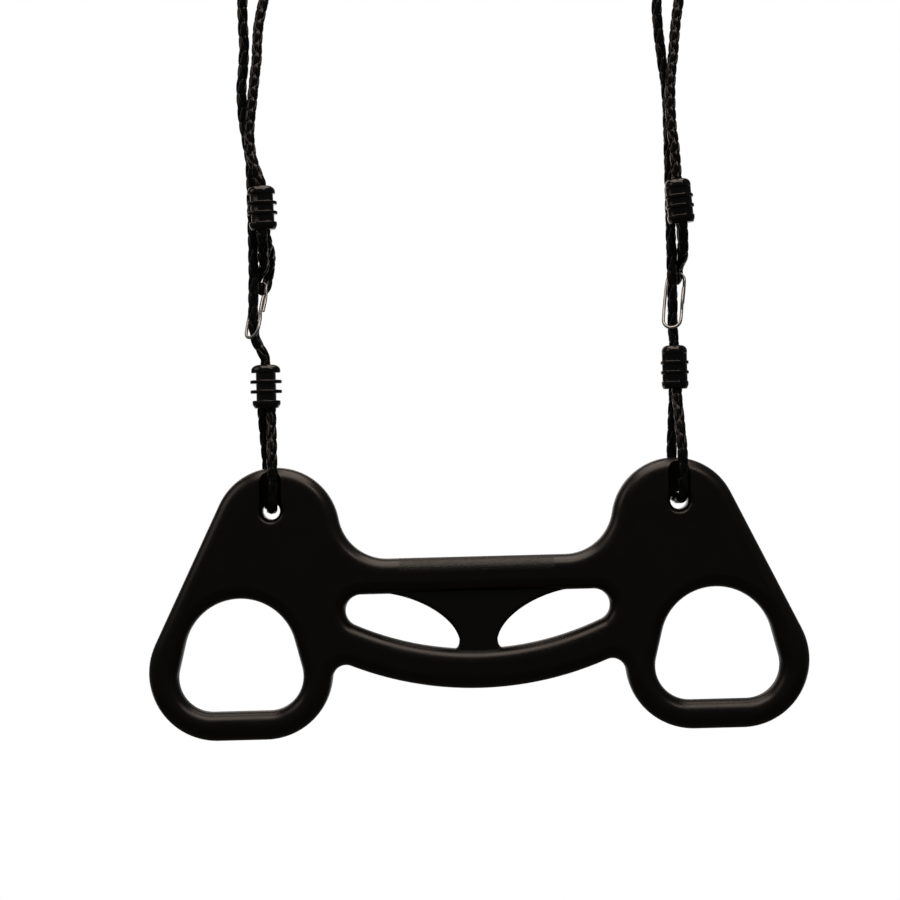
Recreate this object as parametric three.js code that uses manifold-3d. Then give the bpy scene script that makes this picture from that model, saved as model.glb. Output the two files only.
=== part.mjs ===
// A child's trapeze bar with ring grips: one blow-moulded grip body on two braided ropes,
// each rope with two moulded clamps, a wire length adjuster and a steel hanging ring.
// Millimetres, +Z up, the front faces -Y. The origin lies midway between the two hanging rings' centres.
import * as THREE from "three";
import Module from "manifold-3d";
import { mergeVertices } from "three/addons/utils/BufferGeometryUtils.js";

const wasm = await Module();
wasm.setup();

// Clearances and the fineness of curves
const clearance = 0.3;
const overrun = 4;
const outlineDeviation = 0.35;
const samePoint = 0.01;
const outlineStep = THREE.MathUtils.degToRad(14);

// The turn that an outline's copy gets while its flat cap is divided, so that no two points are level
const capTurn = THREE.MathUtils.degToRad(17);

// Grip body: overall layout, measured from the line through the two rope holes
const holeSpacing = 371;
const bodyDepth = 28;
const edgeInset = 11.8;
const partingBand = 1;
const edgeSegments = 4;
const lobeRadius = 57.5;
const lobeInward = 4;
const lobeDrop = 18;

// Grip body: straight top bar and curved lower bar
const gripDrop = 46;
const gripWidth = 32;
const gripFilletRadius = 44.5;
const lowerBarDrop = 130;
const lowerBarWidth = 36;
const notchRadius = 12;

// Grip body: the two ring handles
const ringOutward = 31.6;
const ringCornerDrop = 146;
const ringCornerRadius = 62;
const ringCornerSpacing = 44;
const gripHoleDrop = 130;
const gripHoleRadius = 51;
const gripHoleCornerDrop = 150.5;
const gripHoleCornerRadius = 31;
const gripHoleCornerSpacing = 51.5;

// Grip body: central window and the thin web that splits it into two leaves
const windowEndRadius = 14.5;
const windowToRing = 27.1;
const webThickness = 12;
const webEdgeRadius = 3;
const webEdgeSegments = 2;
const webTopHalfWidth = 80;
const webFootHalfWidth = 17.5;
const webFootHeight = 9;
const webFootFlare = 6.5;
const webRoot = 5;
const webSteps = 12;
const webFootSteps = 4;
const webFirstShares = [0.448, 0.114];
const webSecondShares = [0.928, 0.523];

// Grip body: rope holes with rounded rims, and the rope grooves above them
const boreRadius = 8.5;
const boreHalfLength = 5.5;
const boreRimRadius = 3.5;
const rimSegments = 4;
const holeSides = 24;
const grooveRadius = 12.6;
const grooveDepth = 5;

// Rope clamp: a lofted oval body; reach is its half-width along the rope pair, depth its half-width across
const clampHeight = 39;
const clampSides = 18;
const clampFootReach = 10.3;
const clampFootDepth = 10.5;
const clampBaseHeight = 7.1;
const clampBaseReach = 12.9;
const clampBaseDepth = 12.35;
const clampCoreReach = 8.6;
const clampCoreDepth = 11.5;
const clampFlangeReach = 14.5;
const clampFlangeDepth = 12.9;
const clampFlangeThickness = 2.8;
const clampFlangeDraft = 0.5;
const clampFlangeEdge = 0.8;
const clampFlangeCount = 2;
const clampFirstFlange = 15.1;
const clampFlangePitch = 9;
const clampDomeHeight = 6.8;
const clampDomeSide = 2.2;
const clampDomeReach = 13.4;
const clampDomeDepth = 11.7;
const clampDomeTopReach = 6.4;
const clampDomeTopDepth = 6.2;
const clampDomeSegments = 3;

// Wire adjuster: an oval link whose ends lap side by side on one leg
const linkWireDiameter = 3;
const linkLegSpacing = 16;
const linkLength = 56;
const linkLapLow = 16;
const linkLapHigh = 30;
const linkLapRun = 8;
const linkStep = 3.8;
const linkSides = 8;
const linkArcSteps = 8;
const linkTilt = THREE.MathUtils.degToRad(24);
const linkPassDrop = 40;

// Hanging ring of round steel bar
const hangingRingHeight = 517;
const hangingRingRadius = 25;
const hangingRingWire = 10;
const hangingRingOutward = 4.1;
const hangingRingSides = 8;
const hangingRingSteps = 30;

// Rope tubes
const ropeDiameter = 9.5;
const ropeSides = 8;
const runningStep = 19;
const standingStep = 14;
const ringRopeStep = 4.2;
const upperEyeStep = 3.2;
const lowerEyeStep = 6.2;

// Where the clamps sit, from each side's rope hole: the centre of the foot, its turn and its lean
const leftLowerClampX = -2.3;
const leftLowerClampY = 2;
const leftLowerClampZ = 94;
const leftLowerClampTurn = 0;
const leftUpperClampX = 0.2;
const leftUpperClampY = -11.2;
const leftUpperClampZ = 255.4;
const leftUpperClampTurn = THREE.MathUtils.degToRad(50);
const leftUpperClampLean = THREE.MathUtils.degToRad(-2);
const rightLowerClampX = 0.2;
const rightLowerClampY = 3.5;
const rightLowerClampZ = 102;
const rightLowerClampTurn = THREE.MathUtils.degToRad(90);
const rightUpperClampX = 8.1;
const rightUpperClampY = -14;
const rightUpperClampZ = 251.6;
const rightUpperClampTurn = THREE.MathUtils.degToRad(90);
const rightUpperClampLean = THREE.MathUtils.degToRad(-4.5);

// Where the standing strand passes through each adjuster, and how the adjuster hangs there
const leftPassX = -12.5;
const leftPassY = 4;
const leftPassZ = 173.2;
const leftLinkTurn = THREE.MathUtils.degToRad(45);
const leftLinkLean = THREE.MathUtils.degToRad(-10);
const rightPassX = 0;
const rightPassY = 5;
const rightPassZ = 172.4;
const rightLinkTurn = THREE.MathUtils.degToRad(15);
const rightLinkLean = THREE.MathUtils.degToRad(2.6);

// Rope routes, from each side's rope hole: over the hanging ring
const leftRingRoute = [
  [-14.15, 0, 475], [-14.15, 0, 483], [-14.15, 0, 492], [-12.8, 0, 497], [-9.1, 0, 500.7], [-4.1, 0, 502.05],
  [0.9, 0, 500.7], [4.6, 0, 497], [5.95, 0, 492], [5.95, 0, 483], [5.95, 0, 475],
];
const rightRingRoute = [
  [-5.95, 0, 475], [-5.95, 0, 483], [-5.95, 0, 492], [-4.6, 0, 497], [-0.9, 0, 500.7], [4.1, 0, 502.05],
  [9.1, 0, 500.7], [12.8, 0, 497], [14.15, 0, 492], [14.15, 0, 483], [14.15, 0, 475],
];

// Rope routes: the running strand from the hanging ring down to the upper clamp
const leftRunningRoute = [
  [5.95, 0, 474.7], [5.87, -0.1, 471], [4.9, -0.3, 465.5], [2.8, -0.8, 458], [-0.4, -2, 442], [-2, -3.2, 425],
  [-2.6, -4.2, 412], [-4.6, -5.4, 397], [-6.6, -6.4, 381], [-8.6, -7.4, 365], [-10.4, -8.2, 350],
  [-10.6, -8.8, 337], [-9.2, -9.6, 324], [-6.4, -10.5, 312.5], [-3, -11.1, 304], [-1.36, -11.2, 298.4],
  [-1.17, -11.2, 294.7],
];
const rightRunningRoute = [
  [14.15, 0, 474.7], [13.9, -0.1, 470], [12.9, -0.6, 460], [9.6, -1.8, 441], [7.2, -2.9, 423],
  [5.4, -4.2, 406], [3, -5.9, 390], [1.6, -7.4, 373], [1.3, -8.8, 356], [1.8, -10.4, 338],
  [3.6, -12.4, 320], [4.3, -13.5, 304], [4.72, -14, 295], [5.04, -14, 290.8],
];

// Rope routes: the standing strand from the hanging ring through the adjuster to the lower clamp
const leftStandingRoute = [
  [-14.15, 0, 474.7], [-14.3, 0.1, 470], [-14.9, 0.5, 460], [-14.7, 1.3, 440], [-14.3, 2, 425],
  [-15.6, 2.8, 407], [-17.8, 3.3, 387], [-17.6, 3.6, 368], [-16.2, 3.9, 352], [-13.8, 4, 336],
  [-11.8, 4, 322], [-11.3, 4, 310], [-11.3, 4, 215], [-12.2, 4, 192], [-12.5, 4, 180], [-12.4, 4, 168],
  [-10.4, 3.4, 156], [-5.6, 2.5, 146.5], [-2.8, 2.1, 140], [-2.3, 2, 136.6], [-2.3, 2, 133.3],
];
const rightStandingRoute = [
  [-5.95, 0, 474.7], [-6.2, 0.1, 470], [-7.2, 0.5, 461], [-7.9, 1.2, 448], [-7.2, 2.1, 434],
  [-5.9, 2.9, 420], [-4.5, 3.6, 406], [-2.3, 4.2, 390], [-0.6, 4.7, 373], [0, 5, 350], [0, 5, 260],
  [0, 5, 185], [-0.3, 5.1, 168], [-0.4, 5.2, 158], [-0.2, 4.6, 150.5], [0.15, 3.6, 145], [0.2, 3.5, 141.3],
];

// Rope routes: the upper eye, from the upper clamp round the adjuster's top wire and back
const leftUpperEyeRoute = [
  [1.3, -6.4, 255.1], [1.42, -6.4, 251.9], [2.6, -2, 244.6], [3.6, 7, 239], [3.6, 17, 231.5],
  [1.5, 24.6, 221], [-0.85, 26.7, 211], [-1.67, 24.6, 206.5], [-3.7, 21.5, 203.1], [-7, 17.7, 203.3],
  [-9.7, 15.5, 206.9], [-10.1, 16.2, 211.9], [-8, 14.6, 215.9], [-4.6, 11, 219.4], [-1.6, 4.4, 223.6],
  [-1, -4.5, 231], [-0.8, -12.2, 240], [-0.8, -15.8, 248.2], [-0.78, -16, 251.9], [-0.9, -16, 255.1],
];
const rightUpperEyeRoute = [
  [8.1, -9.1, 251.3], [8.35, -9.1, 248.2], [9.2, -4.6, 241.2], [10.2, 5.2, 236], [10.6, 15.5, 229],
  [9.3, 25.4, 219.5], [8.2, 28, 210.8], [7.45, 26.1, 206.2], [6.3, 22.6, 202.7], [4.9, 17.8, 202.9],
  [4.1, 14.4, 206.5], [4.35, 14.5, 211.5], [6.4, 12.8, 215.4], [9.3, 9, 218.8], [10.2, 2.2, 223.3],
  [9.8, -6.6, 230], [9.2, -14.3, 238.3], [8.5, -18.4, 244.8], [8.35, -18.9, 248.2], [8.1, -18.9, 251.3],
];

// Rope routes: the lower eye, from the lower clamp down the front, through the hole and up the back
const leftLowerEyeRoute = [
  [1.7, -0.8, 93.7], [1.7, -1, 88], [2.3, -7.6, 66], [2.7, -14.2, 44], [2.8, -15.2, 32], [2.8, -15.2, 12],
  [2.6, -13.9, 7.2], [1.9, -10.3, 3.6], [1.1, -5.5, 2.3], [0, 0, 2.3], [-1.4, 5.5, 2.3], [-2.7, 10.3, 3.6],
  [-3.7, 13.9, 7.2], [-4, 15.2, 12], [-4, 15.2, 32], [-4.3, 14.5, 44], [-5.4, 10.4, 66], [-6.3, 5, 88],
  [-6.3, 4.8, 93.7],
];
const rightLowerEyeRoute = [
  [1.2, -1.3, 101.7], [1.2, -1.5, 96], [2.3, -8, 72], [3.4, -14.4, 46], [3.6, -15.2, 33], [3.6, -15.2, 12],
  [3.3, -13.9, 7.2], [2.4, -10.3, 3.6], [1.3, -5.5, 2.3], [0, 0, 2.3], [-1.3, 5.5, 2.3], [-2.4, 10.3, 3.6],
  [-3.3, 13.9, 7.2], [-3.6, 15.2, 12], [-3.6, 15.2, 33], [-3.4, 14.6, 46], [-2.1, 11.8, 72], [-0.8, 8.4, 96],
  [-0.8, 8.3, 101.7],
];

// Materials
const mouldedPlastic = new THREE.MeshStandardMaterial({ color: 0x1a1511, roughness: 0.42, metalness: 0 });
const clampPlastic = new THREE.MeshStandardMaterial({ color: 0x0d0d0e, roughness: 0.25, metalness: 0 });
const ropeFibre = new THREE.MeshStandardMaterial({ color: 0x141414, roughness: 0.8, metalness: 0 });
const brightSteel = new THREE.MeshStandardMaterial({ color: 0xc8cbce, roughness: 0.22, metalness: 1 });

// A closed geometry as a solid that can be cut and joined.
function solidOf(geometry) {
  const bare = geometry.clone();
  bare.deleteAttribute("normal");
  bare.deleteAttribute("uv");
  const merged = mergeVertices(bare);
  return new wasm.Manifold(
    new wasm.Mesh({
      numProp: 3,
      vertProperties: merged.attributes.position.array,
      triVerts: new Uint32Array(merged.index.array),
    }),
  );
}

// A solid back as a geometry.
function geometryOf(solid) {
  const mesh = solid.getMesh();
  const geometry = new THREE.BufferGeometry();
  geometry.setAttribute("position", new THREE.BufferAttribute(mesh.vertProperties, 3));
  geometry.setIndex(new THREE.BufferAttribute(mesh.triVerts, 1));
  geometry.computeVertexNormals();
  return geometry;
}

function namedMesh(name, geometry, material) {
  const mesh = new THREE.Mesh(geometry, material);
  mesh.name = name;
  return mesh;
}

// The closed outline drawn anticlockwise round a list of circles, tangent to each, as points with
// outward normals. A circle with a negative radius is a hollow one: the outline passes on its inner side.
function outlineRound(circles) {
  const count = circles.length;
  const normals = circles.map((from, i) => {
    const to = circles[(i + 1) % count];
    const distance = Math.hypot(to.x - from.x, to.z - from.z);
    const toward = Math.atan2(to.z - from.z, to.x - from.x);
    return toward - Math.acos(THREE.MathUtils.clamp((from.radius - to.radius) / distance, -1, 1));
  });
  const points = circles.flatMap((circle, i) => {
    const start = normals[(i + count - 1) % count];
    const side = Math.sign(circle.radius);
    const turn = side * THREE.MathUtils.euclideanModulo(side * (normals[i] - start), 2 * Math.PI);
    const chordStep = 2 * Math.acos(1 - outlineDeviation / Math.abs(circle.radius));
    const steps = Math.ceil(Math.abs(turn) / Math.min(outlineStep, chordStep));
    return Array.from({ length: steps + 1 }, (_, k) => {
      const angle = start + (turn * k) / steps;
      const normal = new THREE.Vector2(Math.cos(angle), Math.sin(angle));
      const centre = new THREE.Vector2(circle.x, circle.z);
      return { at: centre.addScaledVector(normal, circle.radius), normal };
    });
  });
  return points.filter(({ at }, i) => at.distanceTo(points[(i + 1) % points.length].at) > samePoint);
}

const mirrored = (circle) => ({ ...circle, x: -circle.x });

// Where a fillet circle lies that touches two circles from outside, below the line between them.
function filletBetween(first, second, radius) {
  const reachFirst = first.radius + radius;
  const reachSecond = second.radius + radius;
  const across = new THREE.Vector2(second.x - first.x, second.z - first.z);
  const distance = across.length();
  const along = (distance ** 2 + reachFirst ** 2 - reachSecond ** 2) / (2 * distance);
  const aside = Math.sqrt(reachFirst ** 2 - along ** 2);
  across.normalize();
  return {
    x: first.x + across.x * along + across.y * aside,
    z: first.z + across.y * along - across.x * aside,
    radius: -radius,
  };
}

// Circles that shape the grip body, right-hand side
const ringCentreX = holeSpacing / 2 + ringOutward;
const windowTop = gripDrop + gripWidth;
const windowEnd = {
  x: ringCentreX - ringCornerSpacing / 2 - ringCornerRadius - windowToRing,
  z: -windowTop - windowEndRadius,
  radius: windowEndRadius,
};
const windowRise = lowerBarDrop + windowEnd.z;
const windowFloorRadius =
  (windowEnd.x ** 2 + windowRise ** 2 - windowEndRadius ** 2) / (2 * (windowRise - windowEndRadius));
const windowFloor = { x: 0, z: windowFloorRadius - lowerBarDrop, radius: windowFloorRadius };
const lowerBar = { x: 0, z: windowFloor.z, radius: windowFloorRadius + lowerBarWidth };
const innerCorner = { x: ringCentreX - ringCornerSpacing / 2, z: -ringCornerDrop, radius: ringCornerRadius };
const outerCorner = { x: ringCentreX + ringCornerSpacing / 2, z: -ringCornerDrop, radius: ringCornerRadius };
const lobe = { x: holeSpacing / 2 - lobeInward, z: -lobeDrop, radius: lobeRadius };
const notch = filletBetween(lowerBar, innerCorner, notchRadius);
const gripFilletRise = lobeDrop - gripDrop + gripFilletRadius;
const gripFillet = {
  x: lobe.x - Math.sqrt((lobeRadius + gripFilletRadius) ** 2 - gripFilletRise ** 2),
  z: gripFilletRadius - gripDrop,
  radius: -gripFilletRadius,
};

// The oval window, and the D-shaped grip hole of the ring on one side.
const windowOutline = () => outlineRound([windowFloor, windowEnd, mirrored(windowEnd)]);

function gripHoleOutline(side) {
  const corner = (end) => ({
    x: side * ringCentreX + (end * gripHoleCornerSpacing) / 2,
    z: -gripHoleCornerDrop,
    radius: gripHoleCornerRadius,
  });
  const top = { x: side * ringCentreX, z: -gripHoleDrop, radius: gripHoleRadius };
  return outlineRound([top, corner(-1), corner(1)]);
}

// The depths at which an edge is rounded, each with its offset from the outline at mid-depth.
function edgeLayers(thickness, band, inset, segments) {
  const back = [];
  for (let k = 0; k <= segments; k += 1) {
    const angle = (k / segments) * (Math.PI / 2);
    back.push({
      y: band / 2 + ((thickness - band) / 2) * Math.sin(angle),
      offset: inset * (Math.cos(angle) - 1),
    });
  }
  return [...back.map(({ y, offset }) => ({ y: -y, offset })).reverse(), ...back];
}

// The same layers turned inside out for a cutter, and carried on past both faces.
function cutterLayers(layers) {
  const flared = layers.map(({ y, offset }) => ({ y, offset: -offset }));
  const first = flared[0];
  const last = flared[flared.length - 1];
  return [{ ...first, y: first.y - overrun }, ...flared, { ...last, y: last.y + overrun }];
}

// A closed loft from front to back through one outline, set off along its normals at each layer.
function outlineLoft(outline, layers) {
  const count = outline.length;
  const positions = layers.flatMap(({ y, offset }) =>
    outline.flatMap(({ at, normal }) => [at.x + offset * normal.x, y, at.y + offset * normal.y]),
  );
  const faces = [];
  for (let row = 0; row < layers.length - 1; row += 1) {
    for (let k = 0; k < count; k += 1) {
      const here = row * count + k;
      const next = row * count + ((k + 1) % count);
      faces.push(here, here + count, next, next, here + count, next + count);
    }
  }
  const origin = new THREE.Vector2();
  const contour = outline.map(({ at, normal }) =>
    at.clone().addScaledVector(normal, layers[0].offset).rotateAround(origin, capTurn),
  );
  const backStart = (layers.length - 1) * count;
  for (const [a, b, c] of THREE.ShapeUtils.triangulateShape(contour, [])) {
    faces.push(a, b, c, backStart + c, backStart + b, backStart + a);
  }
  const geometry = new THREE.BufferGeometry();
  geometry.setAttribute("position", new THREE.Float32BufferAttribute(positions, 3));
  geometry.setIndex(faces);
  return geometry;
}

const bodyLayers = edgeLayers(bodyDepth, partingBand, edgeInset, edgeSegments);

function bodyShell() {
  const right = [notch, innerCorner, outerCorner, lobe, gripFillet];
  const left = right.map(mirrored).reverse();
  const holes = [windowOutline(), gripHoleOutline(-1), gripHoleOutline(1)];
  return holes.reduce(
    (shell, hole) => shell.subtract(solidOf(outlineLoft(hole, cutterLayers(bodyLayers)))),
    solidOf(outlineLoft(outlineRound([lowerBar, ...right, ...left]), bodyLayers)),
  );
}

// Points along a curve with the normals on its right-hand side.
function curveOutline(curve, steps) {
  return Array.from({ length: steps + 1 }, (_, k) => {
    const along = curve.getTangent(k / steps);
    return { at: curve.getPoint(k / steps), normal: new THREE.Vector2(along.y, -along.x) };
  });
}

// The thin web across the window, its sides swept in to a narrow foot that flares into the lower bar.
function webPlate() {
  const sweep = webTopHalfWidth - webFootHalfWidth;
  const footTop = webFootHeight - lowerBarDrop;
  const height = -windowTop - footTop;
  const handle = (shares) =>
    new THREE.Vector2(webTopHalfWidth - sweep * shares[0], -windowTop - height * shares[1]);
  const side = new THREE.CubicBezierCurve(
    new THREE.Vector2(webFootHalfWidth, footTop),
    handle(webSecondShares),
    handle(webFirstShares),
    new THREE.Vector2(webTopHalfWidth, -windowTop),
  );
  const foot = new THREE.QuadraticBezierCurve(
    new THREE.Vector2(webFootHalfWidth + webFootFlare, -lowerBarDrop),
    new THREE.Vector2(webFootHalfWidth, -lowerBarDrop),
    side.v0,
  );
  const right = [...curveOutline(foot, webFootSteps).slice(0, -1), ...curveOutline(side, webSteps)];
  const down = { at: new THREE.Vector2(right[0].at.x, -lowerBarDrop - webRoot), normal: right[0].normal };
  const last = right[right.length - 1];
  const up = { at: new THREE.Vector2(last.at.x, webRoot - windowTop), normal: last.normal };
  const rightSide = [down, ...right, up];
  const leftSide = rightSide
    .map(({ at, normal }) => ({
      at: new THREE.Vector2(-at.x, at.y),
      normal: new THREE.Vector2(-normal.x, normal.y),
    }))
    .reverse();
  const layers = edgeLayers(webThickness, webThickness - 2 * webEdgeRadius, webEdgeRadius, webEdgeSegments);
  return outlineLoft([...rightSide, ...leftSide], layers);
}

// Cutter for one rope hole: a bore whose rims are rounded over, opening into a wider recess on each face.
function ropeHoleCutter() {
  const recessRadius = boreRadius + boreRimRadius;
  const profile = [];
  for (let k = 0; k <= rimSegments; k += 1) {
    const angle = (k / rimSegments) * (Math.PI / 2);
    profile.push([
      recessRadius - boreRimRadius * Math.cos(angle),
      boreHalfLength + boreRimRadius * Math.sin(angle),
    ]);
  }
  profile.push([recessRadius, bodyDepth / 2 + overrun], [0, bodyDepth / 2 + overrun]);
  const below = profile.map(([radius, y]) => [radius, -y]).reverse();
  const points = [...below, ...profile].map(([radius, y]) => new THREE.Vector2(radius, y));
  return new THREE.LatheGeometry(points, holeSides);
}

// Cutter for the groove in which the rope lies from the hole up over the lobe.
function grooveCutter(face) {
  const length = lobeRadius + overrun;
  const geometry = new THREE.CylinderGeometry(grooveRadius, grooveRadius, length, holeSides);
  geometry.rotateX(Math.PI / 2);
  geometry.translate(0, face * (bodyDepth / 2 - grooveDepth + grooveRadius), length / 2);
  return geometry;
}

function gripBody() {
  let body = bodyShell().add(solidOf(webPlate()));
  for (const side of [-1, 1]) {
    const cutters = [ropeHoleCutter(), grooveCutter(-1), grooveCutter(1)];
    for (const cutter of cutters) {
      cutter.translate((side * holeSpacing) / 2, 0, 0);
      body = body.subtract(solidOf(cutter));
    }
  }
  return namedMesh("grip_body", geometryOf(body), mouldedPlastic);
}

// A closed loft through oval sections, each a height with its two half-widths.
function ovalLoft(sections, sides) {
  const positions = [];
  const faces = [];
  for (const [height, reach, depth] of sections) {
    for (let k = 0; k < sides; k += 1) {
      const angle = (k / sides) * 2 * Math.PI;
      positions.push(reach * Math.cos(angle), depth * Math.sin(angle), height);
    }
  }
  for (let row = 0; row < sections.length - 1; row += 1) {
    for (let k = 0; k < sides; k += 1) {
      const low = row * sides + k;
      const lowNext = row * sides + ((k + 1) % sides);
      faces.push(low, lowNext, low + sides, lowNext, lowNext + sides, low + sides);
    }
  }
  const top = (sections.length - 1) * sides;
  for (let k = 1; k < sides - 1; k += 1) {
    faces.push(0, k + 1, k, top, top + k, top + k + 1);
  }
  const geometry = new THREE.BufferGeometry();
  geometry.setAttribute("position", new THREE.Float32BufferAttribute(positions, 3));
  geometry.setIndex(faces);
  geometry.computeVertexNormals();
  return geometry;
}

// Rope clamp: chamfered base, waisted core with thin flanges, and a domed head.
function clampGeometry() {
  const sections = [
    [0, clampFootReach, clampFootDepth],
    [clampBaseHeight / 2, clampBaseReach, clampBaseDepth],
    [clampBaseHeight - clampFlangeEdge, clampBaseReach, clampBaseDepth],
    [clampBaseHeight, clampBaseReach - clampFlangeEdge, clampBaseDepth - clampFlangeEdge],
    [clampBaseHeight + clampFlangeDraft, clampCoreReach, clampCoreDepth],
  ];
  for (let k = 0; k < clampFlangeCount; k += 1) {
    const low = clampFirstFlange + k * clampFlangePitch - clampFlangeThickness / 2;
    const high = low + clampFlangeThickness;
    sections.push(
      [low - clampFlangeDraft, clampCoreReach, clampCoreDepth],
      [low, clampFlangeReach - clampFlangeEdge, clampFlangeDepth - clampFlangeEdge],
      [low + clampFlangeEdge, clampFlangeReach, clampFlangeDepth],
      [high - clampFlangeEdge, clampFlangeReach, clampFlangeDepth],
      [high, clampFlangeReach - clampFlangeEdge, clampFlangeDepth - clampFlangeEdge],
      [high + clampFlangeDraft, clampCoreReach, clampCoreDepth],
    );
  }
  const domeFloor = clampHeight - clampDomeHeight;
  sections.push(
    [domeFloor - clampFlangeDraft, clampCoreReach, clampCoreDepth - clampFlangeEdge],
    [domeFloor, clampDomeReach - clampFlangeEdge, clampDomeDepth - clampFlangeEdge],
    [domeFloor + clampFlangeEdge, clampDomeReach, clampDomeDepth],
  );
  for (let k = 0; k <= clampDomeSegments; k += 1) {
    const angle = (k / clampDomeSegments) * (Math.PI / 2);
    sections.push([
      domeFloor + clampDomeSide + (clampDomeHeight - clampDomeSide) * Math.sin(angle),
      clampDomeTopReach + (clampDomeReach - clampDomeTopReach) * Math.cos(angle),
      clampDomeTopDepth + (clampDomeDepth - clampDomeTopDepth) * Math.cos(angle),
    ]);
  }
  return ovalLoft(sections, clampSides);
}

function clamp(name, x, y, z, turn, lean) {
  const mesh = namedMesh(name, clampGeometry(), clampPlastic);
  mesh.position.set(x, y, z);
  mesh.rotation.set(0, lean, turn);
  return mesh;
}

const circleShape = (radius, sides) =>
  new THREE.Shape(
    Array.from({ length: sides }, (_, k) => {
      const angle = (k / sides) * 2 * Math.PI;
      return new THREE.Vector2(radius * Math.cos(angle), radius * Math.sin(angle));
    }),
  );

// A round bar or rope that follows a list of points.
function tubeAlong(points, diameter, sides, step) {
  const route = new THREE.CatmullRomCurve3(points, false, "centripetal");
  return new THREE.ExtrudeGeometry(circleShape(diameter / 2, sides), {
    steps: Math.ceil(route.getLength() / step),
    extrudePath: route,
    bevelEnabled: false,
  });
}

function rope(name, route, step) {
  const points = route.map((point) => new THREE.Vector3(...point));
  return namedMesh(name, tubeAlong(points, ropeDiameter, ropeSides, step), ropeFibre);
}

// The adjuster's wire: up one leg, over the top, down the other, round the foot and up again,
// with its two ends lapped side by side. The link lies in the plane y = 0, centred on the origin.
function linkGeometry() {
  const legX = linkLegSpacing / 2;
  const archZ = linkLength / 2 - legX;
  const lapShift = (linkWireDiameter + clearance) / 2;
  const topZ = linkLength / 2;
  const points = [
    new THREE.Vector3(legX, lapShift, topZ - linkLapHigh),
    new THREE.Vector3(legX, lapShift, topZ - linkLapLow),
    new THREE.Vector3(legX, 0, topZ - linkLapLow + linkLapRun),
  ];
  const arch = (centreZ, from) => {
    for (let k = 0; k <= linkArcSteps; k += 1) {
      const angle = from + (k / linkArcSteps) * Math.PI;
      points.push(new THREE.Vector3(legX * Math.cos(angle), 0, centreZ + legX * Math.sin(angle)));
    }
  };
  arch(archZ, 0);
  arch(-archZ, Math.PI);
  points.push(
    new THREE.Vector3(legX, 0, topZ - linkLapHigh - linkLapRun),
    new THREE.Vector3(legX, -lapShift, topZ - linkLapHigh),
    new THREE.Vector3(legX, -lapShift, topZ - linkLapLow),
  );
  return tubeAlong(points, linkWireDiameter, linkSides, linkStep);
}

function adjuster(name, x, y, z, turn, lean) {
  const mesh = namedMesh(name, linkGeometry(), brightSteel);
  mesh.position.z = linkPassDrop - linkLength / 2;
  const frame = new THREE.Group();
  frame.position.set(x, y, z);
  frame.rotation.set(-linkTilt, lean, -turn, "ZXY");
  frame.add(mesh);
  return frame;
}

// The ring stands in the plane across the bar, so the rope runs over its lowest stretch.
function hangingRing(name, side) {
  const geometry = new THREE.TorusGeometry(
    hangingRingRadius, hangingRingWire / 2, hangingRingSides, hangingRingSteps,
  );
  geometry.rotateY(Math.PI / 2);
  const mesh = namedMesh(name, geometry, brightSteel);
  mesh.position.set(side * hangingRingOutward, 0, hangingRingHeight);
  return mesh;
}

function sideGroup(side, pieces) {
  const group = new THREE.Group();
  group.position.x = (side * holeSpacing) / 2;
  group.add(...pieces);
  return group;
}

const leftSide = sideGroup(-1, [
  hangingRing("left_hanging_ring", -1),
  rope("left_rope_over_ring", leftRingRoute, ringRopeStep),
  rope("left_running_strand", leftRunningRoute, runningStep),
  rope("left_standing_strand", leftStandingRoute, standingStep),
  clamp(
    "left_upper_clamp", leftUpperClampX, leftUpperClampY, leftUpperClampZ, leftUpperClampTurn, leftUpperClampLean,
  ),
  rope("left_upper_eye", leftUpperEyeRoute, upperEyeStep),
  adjuster("left_adjuster_link", leftPassX, leftPassY, leftPassZ, leftLinkTurn, leftLinkLean),
  clamp("left_lower_clamp", leftLowerClampX, leftLowerClampY, leftLowerClampZ, leftLowerClampTurn, 0),
  rope("left_lower_eye", leftLowerEyeRoute, lowerEyeStep),
]);

const rightSide = sideGroup(1, [
  hangingRing("right_hanging_ring", 1),
  rope("right_rope_over_ring", rightRingRoute, ringRopeStep),
  rope("right_running_strand", rightRunningRoute, runningStep),
  rope("right_standing_strand", rightStandingRoute, standingStep),
  clamp(
    "right_upper_clamp", rightUpperClampX, rightUpperClampY, rightUpperClampZ, rightUpperClampTurn,
    rightUpperClampLean,
  ),
  rope("right_upper_eye", rightUpperEyeRoute, upperEyeStep),
  adjuster("right_adjuster_link", rightPassX, rightPassY, rightPassZ, rightLinkTurn, rightLinkLean),
  clamp("right_lower_clamp", rightLowerClampX, rightLowerClampY, rightLowerClampZ, rightLowerClampTurn, 0),
  rope("right_lower_eye", rightLowerEyeRoute, lowerEyeStep),
]);

const group = new THREE.Group();
group.add(gripBody(), leftSide, rightSide);
group.position.z = -hangingRingHeight;

export default group;
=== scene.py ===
# A child's trapeze bar with ring grips: a moulded black body on two plaited ropes, in a studio.
from functools import partial
from math import acos, atan2, ceil, copysign, cos, hypot, pi, radians, sin, sqrt, tanh

import bpy
from mathutils import Matrix, Vector


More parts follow.
